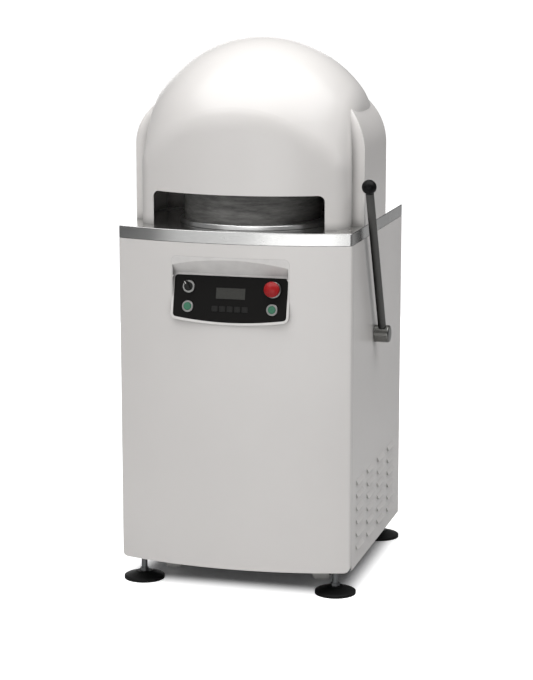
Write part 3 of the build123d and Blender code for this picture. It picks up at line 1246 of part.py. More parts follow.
def arm_sketch(place, width):
    """A round-ended arm from the head axis to a column, seen from above."""
    dx = place[0]
    dy = place[1] - HEAD_Y
    arm = SlotCenterToCenter(hypot(dx, dy), width)
    return Pos(dx / 2, HEAD_Y + dy / 2) * Rot(0, 0, degrees(atan2(dy, dx))) * arm


def guide_column(place):
    column = upright(COLUMN_DIAMETER / 2, place, DECK_TOP, BRIDGE_BOTTOM)
    foot = DECK_BOTTOM - COLUMN_NUT_HEIGHT - COLUMN_STUD_PROUD
    column += upright(COLUMN_SPIGOT / 2, place, foot, DECK_TOP)
    return column + upright(COLUMN_SPIGOT / 2, place, BRIDGE_BOTTOM, BRIDGE_TOP + COLUMN_NUT_HEIGHT)


def column_nuts():
    nuts = []
    for place in COLUMN_PLACES:
        for z0 in (DECK_BOTTOM - COLUMN_NUT_HEIGHT, BRIDGE_TOP):
            nut = hexagon(COLUMN_NUT_FLATS, place, z0, z0 + COLUMN_NUT_HEIGHT)
            nuts.append(nut - upright(COLUMN_SPIGOT / 2, place, z0, z0 + COLUMN_NUT_HEIGHT))
    return nuts


def head_bridge():
    outline = Pos(0, HEAD_Y) * Circle(BRIDGE_DISC_RADIUS)
    for place in COLUMN_PLACES:
        outline += arm_sketch(place, BRIDGE_ARM_WIDTH)
    bridge = Pos(0, 0, BRIDGE_BOTTOM) * extrude(outline, BRIDGE_THICKNESS)
    bridge -= upright(ROD_DIAMETER / 2 + SEAM, (0, HEAD_Y), BRIDGE_BOTTOM, BRIDGE_TOP)
    for place in COLUMN_PLACES:
        bridge -= upright(COLUMN_SPIGOT / 2, place, BRIDGE_BOTTOM, BRIDGE_TOP)
    return bridge


def cylinder_barrel():
    axis = (0, HEAD_Y)
    top = BRIDGE_TOP + BARREL_LENGTH
    barrel = upright(BARREL_RADIUS, axis, BRIDGE_TOP, top)
    barrel += upright(BARREL_FLANGE_RADIUS, axis, BRIDGE_TOP, BRIDGE_TOP + BARREL_CAP)
    barrel -= upright(BARREL_BORE_RADIUS, axis, BRIDGE_TOP + BARREL_CAP, top - BARREL_CAP)
    return barrel - upright(ROD_DIAMETER / 2 + RUNNING_FIT, axis, BRIDGE_TOP, BRIDGE_TOP + BARREL_CAP)


def piston_rod():
    axis = (0, HEAD_Y)
    piston_bottom = BRIDGE_TOP + BARREL_CAP + SEAM
    rod = upright(ROD_SPIGOT / 2, axis, CROSSHEAD_BOTTOM, CROSSHEAD_TOP)
    rod += upright(ROD_DIAMETER / 2, axis, CROSSHEAD_TOP, piston_bottom)
    piston_top = piston_bottom + PISTON_HEIGHT
    return rod + upright(BARREL_BORE_RADIUS - RUNNING_FIT, axis, piston_bottom, piston_top)


def on_circle(radius, angle):
    return (radius * cos(radians(angle)), HEAD_Y + radius * sin(radians(angle)))


PRESS_ROD_PLACES = [on_circle(PRESS_ROD_CIRCLE, angle) for angle in (30, 150, 270)]
KNIFE_ROD_PLACES = [on_circle(KNIFE_ROD_CIRCLE, angle) for angle in (0, 180)]


def crosshead():
    outline = Pos(0, HEAD_Y) * Circle(CROSSHEAD_RADIUS)
    for place in COLUMN_PLACES:
        outline += arm_sketch(place, 2 * (COLUMN_DIAMETER / 2 + 2 * BUSH_WALL))
    body = Pos(0, 0, CROSSHEAD_BOTTOM) * extrude(outline, CROSSHEAD_THICKNESS)
    bores = [upright(ROD_SPIGOT / 2, (0, HEAD_Y), CROSSHEAD_BOTTOM, CROSSHEAD_TOP)]
    for place in COLUMN_PLACES:
        bores.append(upright(COLUMN_DIAMETER / 2 + BUSH_WALL, place, CROSSHEAD_BOTTOM, CROSSHEAD_TOP))
    for place in PRESS_ROD_PLACES + KNIFE_ROD_PLACES:
        bores.append(upright(GUIDE_ROD_RADIUS + RUNNING_FIT, place, CROSSHEAD_BOTTOM, CROSSHEAD_TOP))
    return body - bores


def guide_bush(place):
    outer = COLUMN_DIAMETER / 2 + BUSH_WALL
    bush = upright(outer, place, CROSSHEAD_BOTTOM - GUIDE_BUSH_BELOW, CROSSHEAD_TOP + GUIDE_BUSH_ABOVE)
    bush += upright(outer + BUSH_WALL, place, CROSSHEAD_TOP, CROSSHEAD_TOP + GUIDE_BUSH_COLLAR)
    return bush - upright(COLUMN_DIAMETER / 2 + RUNNING_FIT, place, 0, BRIDGE_BOTTOM)


def head_ring():
    inner = RING_RADIUS - RING_WALL
    return turned(
        [
            (inner + RING_WALL / 2, RING_BOTTOM),
            (RING_RADIUS, RING_BOTTOM),
            (RING_RADIUS, CROSSHEAD_BOTTOM - RING_FLANGE),
            (RING_FLANGE_RADIUS, CROSSHEAD_BOTTOM - RING_FLANGE),
            (RING_FLANGE_RADIUS, CROSSHEAD_BOTTOM),
            (inner, CROSSHEAD_BOTTOM),
            (inner, RING_BOTTOM + RING_WALL),
        ],
        (0, HEAD_Y),
    )


def portion_radii():
    """Edges of the rings of portions, all portions with the same area."""
    outer = RING_RADIUS - RING_WALL
    total = sum(PORTION_RINGS)
    edges = [0.0]
    count = 0
    for portions in PORTION_RINGS:
        count += portions
        edges.append(outer * sqrt(count / total))
    return edges


def dividing_grid(thickness, tip, z0, z1):
    """The knives' pattern: round blades between the rings of portions and straight ones across them."""
    edges = portion_radii()
    blades = []
    for radius in edges[1:-1]:
        ring = upright(radius + thickness / 2, (0, HEAD_Y), z0, z1)
        blades.append(ring - upright(radius - thickness / 2, (0, HEAD_Y), z0, z1))
    for portions, inner, outer in zip(PORTION_RINGS, edges, edges[1:]):
        end = min(outer, tip)
        blade = block(inner, end, -thickness / 2, thickness / 2, z0, z1)
        blades += [Pos(0, HEAD_Y, 0) * Rot(0, 0, turn * 360 / portions) * blade for turn in range(portions)]
    return blades


def segment_posts(radius, z0, z1):
    posts = []
    edges = portion_radii()
    for portions, inner, outer in zip(PORTION_RINGS, edges, edges[1:]):
        middle = sqrt((inner ** 2 + outer ** 2) / 2)
        for turn in range(portions):
            posts.append(upright(radius, on_circle(middle, (turn + 0.5) * 360 / portions), z0, z1))
    return posts


def press_plate():
    """One pressing segment for each portion, all hung by posts from one carrier."""
    axis = (0, HEAD_Y)
    slot = BLADE_THICKNESS + 2 * BLADE_GAP
    plate = upright(PRESS_RADIUS, axis, SEGMENT_BOTTOM, SEGMENT_TOP)
    plate -= dividing_grid(slot, 2 * PRESS_RADIUS, SEGMENT_BOTTOM, SEGMENT_TOP)
    carrier = upright(CARRIER_RADIUS, axis, PRESS_CARRIER_BOTTOM, PRESS_CARRIER_TOP)
    for place in KNIFE_ROD_PLACES:
        carrier -= upright(GUIDE_ROD_RADIUS + POST_HOLE_GAP, place, PRESS_CARRIER_BOTTOM, PRESS_CARRIER_TOP)
    for place in PRESS_ROD_PLACES:
        carrier += upright(GUIDE_ROD_RADIUS, place, PRESS_CARRIER_TOP, GUIDE_ROD_TOP)
    return carrier + segment_posts(SEGMENT_POST_RADIUS, SEGMENT_TOP, PRESS_CARRIER_BOTTOM) + plate


def knife_star():
    axis = (0, HEAD_Y)
    carrier = upright(CARRIER_RADIUS, axis, KNIFE_CARRIER_BOTTOM, KNIFE_CARRIER_TOP)
    carrier -= segment_posts(SEGMENT_POST_RADIUS + POST_HOLE_GAP, KNIFE_CARRIER_BOTTOM, KNIFE_CARRIER_TOP)
    for place in KNIFE_ROD_PLACES:
        carrier += upright(GUIDE_ROD_RADIUS, place, KNIFE_CARRIER_TOP, GUIDE_ROD_TOP)
    tip = PRESS_RADIUS - BLADE_GAP
    return carrier + dividing_grid(BLADE_THICKNESS, tip, BLADE_BOTTOM, KNIFE_CARRIER_BOTTOM)


# Hydraulic pack, electrics and inlet

def oil_tank():
    """A welded tank with a filler neck in its lid."""
    width, depth, height = TANK_SIZE
    x, y = TANK_CENTRE
    lid = PAN_TOP + height
    tank = block(x - width / 2, x + width / 2, y - depth / 2, y + depth / 2, PAN_TOP, lid)
    tank = fillet(tank.edges().filter_by(Axis.Z), TANK_ROUND)
    inside = offset(tank, -TANK_WALL)
    filler = (x - width / 2 + FILLER_INSET, y + depth / 2 - FILLER_INSET)
    mouth = lid + FILLER_HEIGHT
    tank += upright(FILLER_RADIUS, filler, lid, mouth)
    return tank - inside - upright(FILLER_RADIUS - TANK_WALL, filler, lid - 2 * TANK_WALL, mouth)


def pump_unit():
    foot = PAN_TOP + TANK_SIZE[2]
    axis = (PUMP_X, TANK_CENTRE[1])
    pump = upright(PUMP_RADIUS, axis, foot, foot + PUMP_HEIGHT)
    fin = block(
        0,
        PUMP_RADIUS + PUMP_FIN_HEIGHT,
        -MOTOR_FIN_THICKNESS / 2,
        MOTOR_FIN_THICKNESS / 2,
        foot + PUMP_FIN_LIFT,
        foot + PUMP_HEIGHT - FAN_COVER_LENGTH,
    )
    pump += [Pos(*axis) * Rot(0, 0, turn * 360 / PUMP_FINS) * fin for turn in range(PUMP_FINS)]
    return pump + upright(
        PUMP_RADIUS + PUMP_FIN_HEIGHT, axis, foot + PUMP_HEIGHT - FAN_COVER_LENGTH, foot + PUMP_HEIGHT
    )


def valve_block():
    width, depth, height = VALVE_SIZE
    foot = PAN_TOP + TANK_SIZE[2]
    y = TANK_CENTRE[1]
    top = foot + height
    body = block(VALVE_X - width / 2, VALVE_X + width / 2, y - depth / 2, y + depth / 2, foot, top)
    for side in (-1, 1):
        body += upright(SOLENOID_RADIUS, (VALVE_X + side * width / 4, y), top, top + SOLENOID_LENGTH)
    return body


def electrical_box():
    """A sheet steel box with a cable entry in its rear wall."""
    width, depth, height = BOX_SIZE
    x1 = TANK_CENTRE[0] - TANK_SIZE[0] / 2 - BOX_GAP
    box = block(x1 - width, x1, -depth / 2, depth / 2, PAN_TOP, PAN_TOP + height)
    box = fillet(box.edges(), BOX_ROUND)
    box -= offset(box, -BOX_WALL)
    return box - along_rear(GLAND_THREAD_RADIUS, depth / 2 - 2 * BOX_WALL, depth / 2)


def along_rear(radius, y0, y1):
    return Pos(GLAND_X, (y0 + y1) / 2, GLAND_Z) * Rot(90, 0, 0) * Cylinder(radius, y1 - y0)


def cable_gland():
    """The mains inlet: a threaded gland through the rear panel, with its nut inside."""
    outside = Plane(origin=(GLAND_X, BACK_Y, GLAND_Z), x_dir=(1, 0, 0), z_dir=(0, 1, 0))
    hexed = extrude(outside * RegularPolygon(GLAND_FLATS / sqrt(3), 6), GLAND_LENGTH / 2)
    cap = along_rear(GLAND_FLATS / 2 - SHEET, BACK_Y + GLAND_LENGTH / 2, BACK_Y + GLAND_LENGTH)
    thread = along_rear(GLAND_THREAD_RADIUS, INNER_BACK - GLAND_LENGTH / 2, BACK_Y)
    nut = along_rear(GLAND_FLATS / 2, INNER_BACK - GLAND_NUT, INNER_BACK)
    bore = along_rear(GLAND_CABLE_RADIUS, INNER_BACK - GLAND_LENGTH, BACK_Y + GLAND_LENGTH)
    return hexed + cap + thread + nut - bore


def all_nodes():
    nodes = {
        "base_pan": base_pan(),
        "cabinet_posts": cabinet_posts(),
        "drive_deck": drive_deck(),
        "motor_shelf": motor_shelf(),
        "front_panel": front_panel(),
        "left_side_panel": side_panel(-1),
        "right_side_panel": side_panel(1),
        "rear_panel": rear_panel(),
        "worktop": worktop(),
        "front_hood": front_hood(),
        "rear_cover": rear_cover(),
        "foot_pads": [foot_pad(place) for place in FOOT_PLACES],
        "foot_stems": [make(place) for place in FOOT_PLACES for make in (foot_stem, foot_nut)],
        "roller_mounts": roller_mounts(),
        "control_housing": control_housing(),
        "control_fascia": control_fascia(),
        "display_window": display_window(),
        "switch_bodies": [switch_body(name) for name in SWITCH_PLACES],
        "button_bezels": button_bezels(),
        "start_button_left": start_button("start_left"),
        "start_button_right": start_button("start_right"),
        "estop_button": estop_button(),
        "selector_knob": selector_knob(),
        "main_housing": main_housing(),
        "main_bearings": [main_bearing(LOWER_BEARING_BOTTOM), main_bearing(UPPER_BEARING_BOTTOM)],
        "eccentric_shaft": [eccentric_shaft(), shaft_collar()],
        "orbit_table": orbit_table(),
        "moulding_plate": moulding_plate(),
        "driven_pulley": driven_pulley(),
        "motor_pulley": [motor_pulley(), motor_shaft()],
        "drive_belt": drive_belt(),
        "drive_motor": drive_motor(),
        "clutch_sleeve": clutch_sleeve(),
        "shift_fork": shift_fork(),
        "lever_shaft": lever_shaft(),
        "lever_hub": lever_hub(),
        "lever_rod": lever_rod(),
        "lever_knob": lever_knob(),
        "lever_bearings": [lever_bush(), lever_block(BLOCK_LEFT_X), lever_block(BLOCK_RIGHT_X)],
        "guide_columns": [guide_column(place) for place in COLUMN_PLACES],
        "column_nuts": column_nuts(),
        "head_bridge": head_bridge(),
        "cylinder_barrel": cylinder_barrel(),
        "piston_rod": piston_rod(),
        "crosshead": crosshead(),
        "guide_bushes": [guide_bush(place) for place in COLUMN_PLACES],
        "head_ring": head_ring(),
        "press_plate": press_plate(),
        "knife_star": knife_star(),
        "oil_tank": oil_tank(),
        "pump_unit": [pump_unit(), valve_block()],
        "electrical_box": electrical_box(),
        "cable_gland": cable_gland(),
    }
    for name, place in ROLLER_PLACES.items():
        nodes["transport_roller_" + name] = transport_roller(place)
    for letter in SATELLITE_PLACES:
        nodes["satellite_crank_" + letter] = satellite_crank(letter)
    return nodes


def solids_of(shape):
    if isinstance(shape, list):
        return [solid for piece in shape for solid in piece.solids()]
    return list(shape.solids())


NODES = {name: solids_of(shape) for name, shape in all_nodes().items()}
BOX = Compound([solid for solids in NODES.values() for solid in solids]).bounding_box()
CENTRING = Pos(-(BOX.min.X + BOX.max.X) / 2, -(BOX.min.Y + BOX.max.Y) / 2, 0)

os.makedirs("parts", exist_ok=True)
for node_name, node_solids in NODES.items():
    placed = [CENTRING * solid for solid in node_solids]
    export_step(placed[0] if len(placed) == 1 else Compound(placed), f"parts/{node_name}.step")
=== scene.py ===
"""Looks of a dough divider rounder: enamelled sheet, brushed and turned steel, moulded plastics,
small fittings and a plain pale studio. Lengths are in metres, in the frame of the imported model."""
import json
from math import atan2, cos, degrees, radians

import bpy
from mathutils import Matrix, Vector


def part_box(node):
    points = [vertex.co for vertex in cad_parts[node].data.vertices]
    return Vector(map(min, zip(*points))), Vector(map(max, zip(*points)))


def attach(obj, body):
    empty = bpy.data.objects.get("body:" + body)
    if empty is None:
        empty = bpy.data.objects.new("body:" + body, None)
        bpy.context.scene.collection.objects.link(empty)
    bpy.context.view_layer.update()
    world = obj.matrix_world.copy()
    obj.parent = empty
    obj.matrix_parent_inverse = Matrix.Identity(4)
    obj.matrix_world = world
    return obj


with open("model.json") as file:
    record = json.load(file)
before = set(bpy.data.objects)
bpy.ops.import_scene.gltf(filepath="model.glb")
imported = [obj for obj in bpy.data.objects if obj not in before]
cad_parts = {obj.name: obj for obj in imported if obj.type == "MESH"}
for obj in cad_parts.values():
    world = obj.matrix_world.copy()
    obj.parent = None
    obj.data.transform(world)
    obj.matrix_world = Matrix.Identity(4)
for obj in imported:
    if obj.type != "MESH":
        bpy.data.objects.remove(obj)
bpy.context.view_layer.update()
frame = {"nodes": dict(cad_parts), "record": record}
nodes = frame["nodes"]

# The photograph's camera: angles in degrees, lens and sensor in millimetres
CAMERA_PLACE = (1.457, -5.3926, 1.689)
CAMERA_YAW = 15.22
CAMERA_PITCH = 10.88
CAMERA_LENS = 110.96
SENSOR_WIDTH = 36.0
CAMERA_REACH = 500.0

# The control plate: middle of its top edge, the way up it and the way out of it
PLATE_TOP_EDGE = Vector((-0.017, -0.314642, 0.838))
PLATE_UP = Vector((0.0, 0.224951, 0.974370))
PLATE_OUT = Vector((0.0, -0.974370, 0.224951))

# Places on the plate: across from its middle and down from its top edge
SELECTOR_PLACE = (-0.112, 0.030)
STOP_PLACE = (0.112, 0.030)
KEY_ROW_DOWN = 0.084

# Keys under the display
KEY_COUNT = 5
KEY_PITCH = 0.020
KEY_SIZE = (0.016, 0.014, 0.0016)
KEY_CORNER = 0.0025
KEY_EDGE = 0.0005
KEY_SINK = 0.0004

# The pale line on the selector: its distance from the middle, and the selector's turn at rest
MARK_SIZE = (0.0018, 0.008, 0.0007)
MARK_CORNER = 0.0006
MARK_EDGE = 0.0002
MARK_SINK = 0.0003
MARK_OFFSET = 0.010
SELECTOR_TURN = 33.0

# The collar round the emergency stop
COLLAR_RADIUS = 0.0215
COLLAR_BORE = 0.0145
COLLAR_HEIGHT = 0.0055
COLLAR_EDGE = 0.002
COLLAR_SINK = 0.0002

# The lever's rod: its middle and its lean from upright
ROD_MIDDLE = (0.314, -0.106005, 0.862943)
ROD_LEAN = 24.0

# The sleeve on the rod: its ends, along the rod from the middle, and its size
SLEEVE_FOOT = -0.2115
SLEEVE_TOP = 0.2035
SLEEVE_RADIUS = 0.0107
SLEEVE_WALL = 0.0026
SLEEVE_EDGE = 0.0012

# Screw heads, with a hexagonal recess
SCREW_RADIUS = 0.0048
SCREW_HEIGHT = 0.0026
SCREW_SIDES = 24
SCREW_EDGE = 0.0012
RECESS_INSET = 0.0010
RECESS_DEPTH = 0.0013

# Screws of the rear panel and the rear cover
SCREW_MARGIN = 0.014
PANEL_SCREW_ROWS = 4
PANEL_FOOT_MARGIN = 0.02
COVER_SCREWS = 5
COVER_END_MARGIN = 0.012

# Sides of a round tube, steps of the rounded edges, and the angle up to which shading is smooth
TUBE_SIDES = 48
CORNER_STEPS = 4
BLOCK_EDGE_STEPS = 2
TUBE_EDGE_STEPS = 3
SCREW_EDGE_STEPS = 4
SMOOTH_ANGLE = 35.0

# Coordinates this near are the same, a middle this near the axis is on it, and a normal whose
# upward part is over this points up
SAME = 1e-7
ON_AXIS = 1e-5
UPWARD = 0.99

# Axis of the round plate and the dividing head, on the floor
HEAD_AXIS = (-0.017, -0.109642, 0.0)

# The floor: what it throws back, what the camera sees of it, and where the shadow fades out
FLOOR_SIZE = 240.0
FLOOR_BOUNCE = 0.70
FLOOR_SEEN = 0.97
FLOOR_ROUGHNESS = 0.9
SHADOW_CENTRE = (-0.017, 0.05, 0.0)
SHADOW_CORNER = 0.1
SHADOW_FADE_START = 0.255
SHADOW_FADE_END = 0.36

# Light of the even room
ROOM_LIGHT = (0.17, 0.17, 0.173)

# Softboxes: place, the point that each faces, width, height and power in watts
SOFTBOXES = {
    "overhead_light": ((0.4, -0.58, 3.1), (0.3, -0.24, 0.5), 5.0, 2.3, 92.0),
    "front_light": ((0.60, -3.4, 0.68), (0.0, 0.0, 0.7), 1.9, 1.3, 12.0),
    "foot_light": ((0.1, -2.6, 0.22), (0.0, 0.0, 0.1), 2.2, 0.36, 2.0),
    "fill_light": ((-1.30, -3.2, 1.3), (0.0, 0.0, 0.9), 1.9, 2.5, 9.8),
    "back_light": ((-1.3, 3.3, 1.2), (0.0, 0.0, 0.7), 2.2, 2.0, 27.0),
    "low_light": ((1.3, 3.2, 0.35), (0.2, 0.0, 0.5), 1.6, 0.7, 0.8),
}

# Between these lie most of a noise's values
NOISE_LOW = 0.25
NOISE_HIGH = 0.75

# Sockets of a Mix node that mixes colours
MIX_SHARE = 0
MIX_FIRST = 6
MIX_SECOND = 7
MIX_RESULT = 2


# Node trees

def rgb(red, green, blue):
    return (red, green, blue, 1.0)


def grey(level):
    return rgb(level, level, level)


def node(tree, kind, inputs=None, **settings):
    """A shader node with its settings, and its inputs set to a value or linked to an output."""
    made = tree.nodes.new("ShaderNode" + kind)
    for name, value in settings.items():
        setattr(made, name, value)
    for name, value in (inputs or {}).items():
        if isinstance(value, bpy.types.NodeSocket):
            tree.links.new(value, made.inputs[name])
        else:
            made.inputs[name].default_value = value
    return made


def object_place(tree):
    return node(tree, "TexCoord").outputs["Object"]


def noise(tree, place, scale, detail, roughness=0.5):
    return node(tree, "TexNoise", {
        "Vector": place, "Scale": scale, "Detail": detail, "Roughness": roughness,
    }).outputs[0]


def swing(tree, source, reach, middle=0.0):
    """A noise turned into a value that swings by reach round middle."""
    return node(tree, "MapRange", {
        "Value": source, "From Min": NOISE_LOW, "From Max": NOISE_HIGH,
        "To Min": middle - reach, "To Max": middle + reach,
    }).outputs[0]


def shade(tree, colour, tone):
    return node(tree, "VectorMath", {0: colour, "Scale": tone}, operation="SCALE").outputs[0]


def mix_colours(tree, share, first, second):
    """The first colour, turned into the second by the share."""
    sockets = {MIX_SHARE: share, MIX_FIRST: first, MIX_SECOND: second}
    return node(tree, "Mix", sockets, data_type="RGBA").outputs[MIX_RESULT]


def new_group(name, inputs, outputs):
    """A node group: its tree, the sockets that give its inputs and those that take its results."""
    tree = bpy.data.node_groups.new(name, "ShaderNodeTree")
    for label, value in inputs.items():
        kind = "Float" if isinstance(value, float) else "Color" if len(value) == 4 else "Vector"
        socket = tree.interface.new_socket(label, in_out="INPUT", socket_type="NodeSocket" + kind)
        socket.default_value = value
    for label, kind in outputs.items():
        tree.interface.new_socket(label, in_out="OUTPUT", socket_type="NodeSocket" + kind)
    given = tree.nodes.new("NodeGroupInput").outputs
    result = tree.nodes.new("NodeGroupOutput").inputs
    return tree, given, result


def surface_group(name, inputs):
    """A group that gives a colour, a roughness and a height."""
    return new_group(name, inputs, {"Colour": "Color", "Roughness": "Float", "Height": "Float"})


def close_surface(tree, given, result, tone, spread, height):
    """Shades the colour by tone, varies the roughness by spread, and gives the height."""
    rough = node(tree, "Math", {0: given["Gloss"], 1: spread}, operation="ADD", use_clamp=True)
    tree.links.new(shade(tree, given["Colour"], tone), result["Colour"])
    tree.links.new(rough.outputs[0], result["Roughness"])
    tree.links.new(height, result["Height"])
    return tree


def line_tone(tree, lines, contrast):
    """A tone round 1 that the lines vary by the contrast."""
    factors = {0: swing(tree, lines, reach=1.0), 1: contrast, 2: 1.0}
    return node(tree, "Math", factors, operation="MULTIPLY_ADD").outputs[0]


def enamel_skin():
    """Powder coat: a faint cloudiness, a hazy gloss and the fine waviness of the cured skin."""
    tree, given, result = surface_group("enamel_skin", {
        "Colour": grey(0.8), "Gloss": 0.3, "Peel": 420.0,
    })
    place = object_place(tree)
    cloud = noise(tree, place, scale=3.5, detail=3.0)
    haze = noise(tree, place, scale=46.0, detail=5.0)
    peel = noise(tree, place, scale=given["Peel"], detail=2.0)
    tone = swing(tree, cloud, reach=0.018, middle=1.0)
    return close_surface(tree, given, result, tone, swing(tree, haze, reach=0.04), peel)


def brushed_lines():
    """Sheet brushed one way: Grain is large across the lines and small along them."""
    tree, given, result = surface_group("brushed_lines", {
        "Colour": grey(0.7), "Gloss": 0.28, "Grain": (6.0, 900.0, 900.0), "Contrast": 0.12,
    })
    place = object_place(tree)
    drawn = node(tree, "VectorMath", {0: place, 1: given["Grain"]}, operation="MULTIPLY").outputs[0]
    lines = noise(tree, drawn, scale=1.0, detail=6.0, roughness=0.7)
    smear = noise(tree, place, scale=9.0, detail=4.0)
    tone = line_tone(tree, lines, given["Contrast"])
    return close_surface(tree, given, result, tone, swing(tree, smear, reach=0.06), lines)


def turned_lines():
    """Lathe marks: rings round the upright axis through Centre."""
    tree, given, result = surface_group("turned_lines", {
        "Colour": grey(0.5), "Gloss": 0.32, "Centre": (0.0, 0.0, 0.0), "Pitch": 700.0,
        "Contrast": 0.15,
    })
    place = object_place(tree)
    from_axis = {0: place, 1: given["Centre"]}
    local = node(tree, "VectorMath", from_axis, operation="SUBTRACT").outputs[0]
    parts = node(tree, "SeparateXYZ", {0: local}).outputs
    flat = node(tree, "CombineXYZ", {"X": parts["X"], "Y": parts["Y"]}).outputs[0]
    radius = node(tree, "VectorMath", {0: flat}, operation="LENGTH").outputs["Value"]
    profile = node(tree, "CombineXYZ", {"X": radius, "Y": parts["Z"]}).outputs[0]
    lines = noise(tree, profile, scale=given["Pitch"], detail=5.0, roughness=0.75)
    smear = noise(tree, place, scale=14.0, detail=4.0)
    tone = line_tone(tree, lines, given["Contrast"])
    return close_surface(tree, given, result, tone, swing(tree, smear, reach=0.07), lines)


def moulded_grain():
    """Moulded plastic: a fine spark-eroded grain, slightly uneven in shade and gloss."""
    tree, given, result = surface_group("moulded_grain", {
        "Colour": grey(0.1), "Gloss": 0.4, "Grain": 900.0,
    })
    place = object_place(tree)
    flow = noise(tree, place, scale=30.0, detail=3.0)
    grain = noise(tree, place, scale=given["Grain"], detail=3.0)
    tone = swing(tree, flow, reach=0.06, middle=1.0)
    return close_surface(tree, given, result, tone, swing(tree, grain, reach=0.05), grain)


def worn_and_sheen_edges():
    """A mask of the sharp edges, broken up in patches: worn edges, and painted sheen where light
    would catch them.
    """
    tree, given, result = new_group("worn_and_sheen_edges", {"Width": 0.001}, {"Mask": "Float"})
    rounded = node(tree, "Bevel", {"Radius": given["Width"]}, samples=4).outputs[0]
    flat = node(tree, "NewGeometry").outputs["Normal"]
    turn = node(tree, "VectorMath", {0: rounded, 1: flat}, operation="DOT_PRODUCT").outputs["Value"]
    edge = node(tree, "MapRange", {"Value": turn, "From Min": 0.99, "From Max": 0.8}).outputs[0]
    patch = noise(tree, object_place(tree), scale=60.0, detail=4.0)
    wear_and_sheen_mask = node(tree, "MapRange", {"Value": patch, "From Min": 0.35, "From Max": 0.6}).outputs[0]
    mask = node(tree, "Math", {0: edge, 1: wear_and_sheen_mask}, operation="MULTIPLY").outputs[0]
    tree.links.new(mask, result["Mask"])
    return tree


def painted_crevice_shade():
    """A tone that darkens by Depth where surfaces meet within Reach: painted shade in corners,
    creases and recesses.
    """
    tree, given, result = new_group(
        "painted_crevice_shade", {"Reach": 0.03, "Depth": 0.3}, {"Tone": "Float"},
    )
    around = node(tree, "AmbientOcclusion", {"Distance": given["Reach"]}, samples=12)
    deepest = node(tree, "Math", {0: 1.0, 1: given["Depth"]}, operation="SUBTRACT").outputs[0]
    tone = node(tree, "MapRange", {
        "Value": around.outputs["AO"], "From Min": 0.45, "From Max": 0.98,
        "To Min": deepest, "To Max": 1.0,
    })
    tree.links.new(tone.outputs[0], result["Tone"])
    return tree


ENAMEL = enamel_skin()
BRUSHED = brushed_lines()
TURNED = turned_lines()
MOULDED = moulded_grain()
WORN_AND_SHEEN_EDGES = worn_and_sheen_edges()
PAINTED_CREVICE_SHADE = painted_crevice_shade()


# Finishes, by the name of their slot

FINISHES = {}


def make_finish(slot, group, given, relief, shine=None, wear_and_sheen=None, painted_shade=None):
    """A material whose colour, roughness and relief come from a group. Relief is the bump's depth,
    shine holds the shader's own values, the next argument gives the width and colour of worn edges
    with painted sheen on them, and the last the reach and depth of the painted shade in corners."""
    made = bpy.data.materials.new(slot)
    made.use_nodes = True
    tree = made.node_tree
    shader = tree.nodes["Principled BSDF"]
    skin = node(tree, "Group", given, node_tree=group).outputs
    colour = skin["Colour"]
    # Worn edges with painted sheen: the sharp edges turn to a lighter colour in patches
    if wear_and_sheen:
        width, wear_and_sheen_colour = wear_and_sheen
        wear_and_sheen_mask = node(tree, "Group", {"Width": width}, node_tree=WORN_AND_SHEEN_EDGES).outputs["Mask"]
        colour = mix_colours(tree, wear_and_sheen_mask, colour, wear_and_sheen_colour)
    # Painted shade: the colour darkens where surfaces meet
    if painted_shade:
        reach, depth = painted_shade
        corners = node(tree, "Group", {"Reach": reach, "Depth": depth}, node_tree=PAINTED_CREVICE_SHADE)
        colour = shade(tree, colour, corners.outputs["Tone"])
    bump = node(tree, "Bump", {"Height": skin["Height"], "Strength": 1.0, "Distance": relief})
    tree.links.new(colour, shader.inputs["Base Color"])
    tree.links.new(skin["Roughness"], shader.inputs["Roughness"])
    tree.links.new(bump.outputs[0], shader.inputs["Normal"])
    for label, value in (shine or {}).items():
        shader.inputs[label].default_value = value
    FINISHES[slot] = made


METAL = {"Metallic": 1.0}

# Painted shade where the enamel meets other parts, round the control housing's rim and in the
# louvres
make_finish(
    "white_enamel", ENAMEL, {"Colour": rgb(0.81, 0.785, 0.762), "Gloss": 0.36}, relief=0.00002,
    shine={"Coat Weight": 0.5, "Coat Roughness": 0.24}, painted_shade=(0.022, 0.5),
)
make_finish(
    "grey_enamel", ENAMEL, {"Colour": rgb(0.34, 0.36, 0.37), "Gloss": 0.42}, relief=0.00004,
    shine={"Coat Weight": 0.1},
)
# Worn edges on the casting, with painted sheen along them
make_finish(
    "casting", ENAMEL, {"Colour": rgb(0.16, 0.17, 0.18), "Gloss": 0.62, "Peel": 260.0},
    relief=0.0004, wear_and_sheen=(0.0012, grey(0.30)),
)
# Worn edges with painted sheen, and deep painted shade on the side of the lever's sleeve that faces
# the side panel
make_finish(
    "black_steel", ENAMEL, {"Colour": rgb(0.108, 0.107, 0.103), "Gloss": 0.42}, relief=0.00003,
    shine={"Specular IOR Level": 0.2}, wear_and_sheen=(0.001, grey(0.2)), painted_shade=(0.05, 0.95),
)
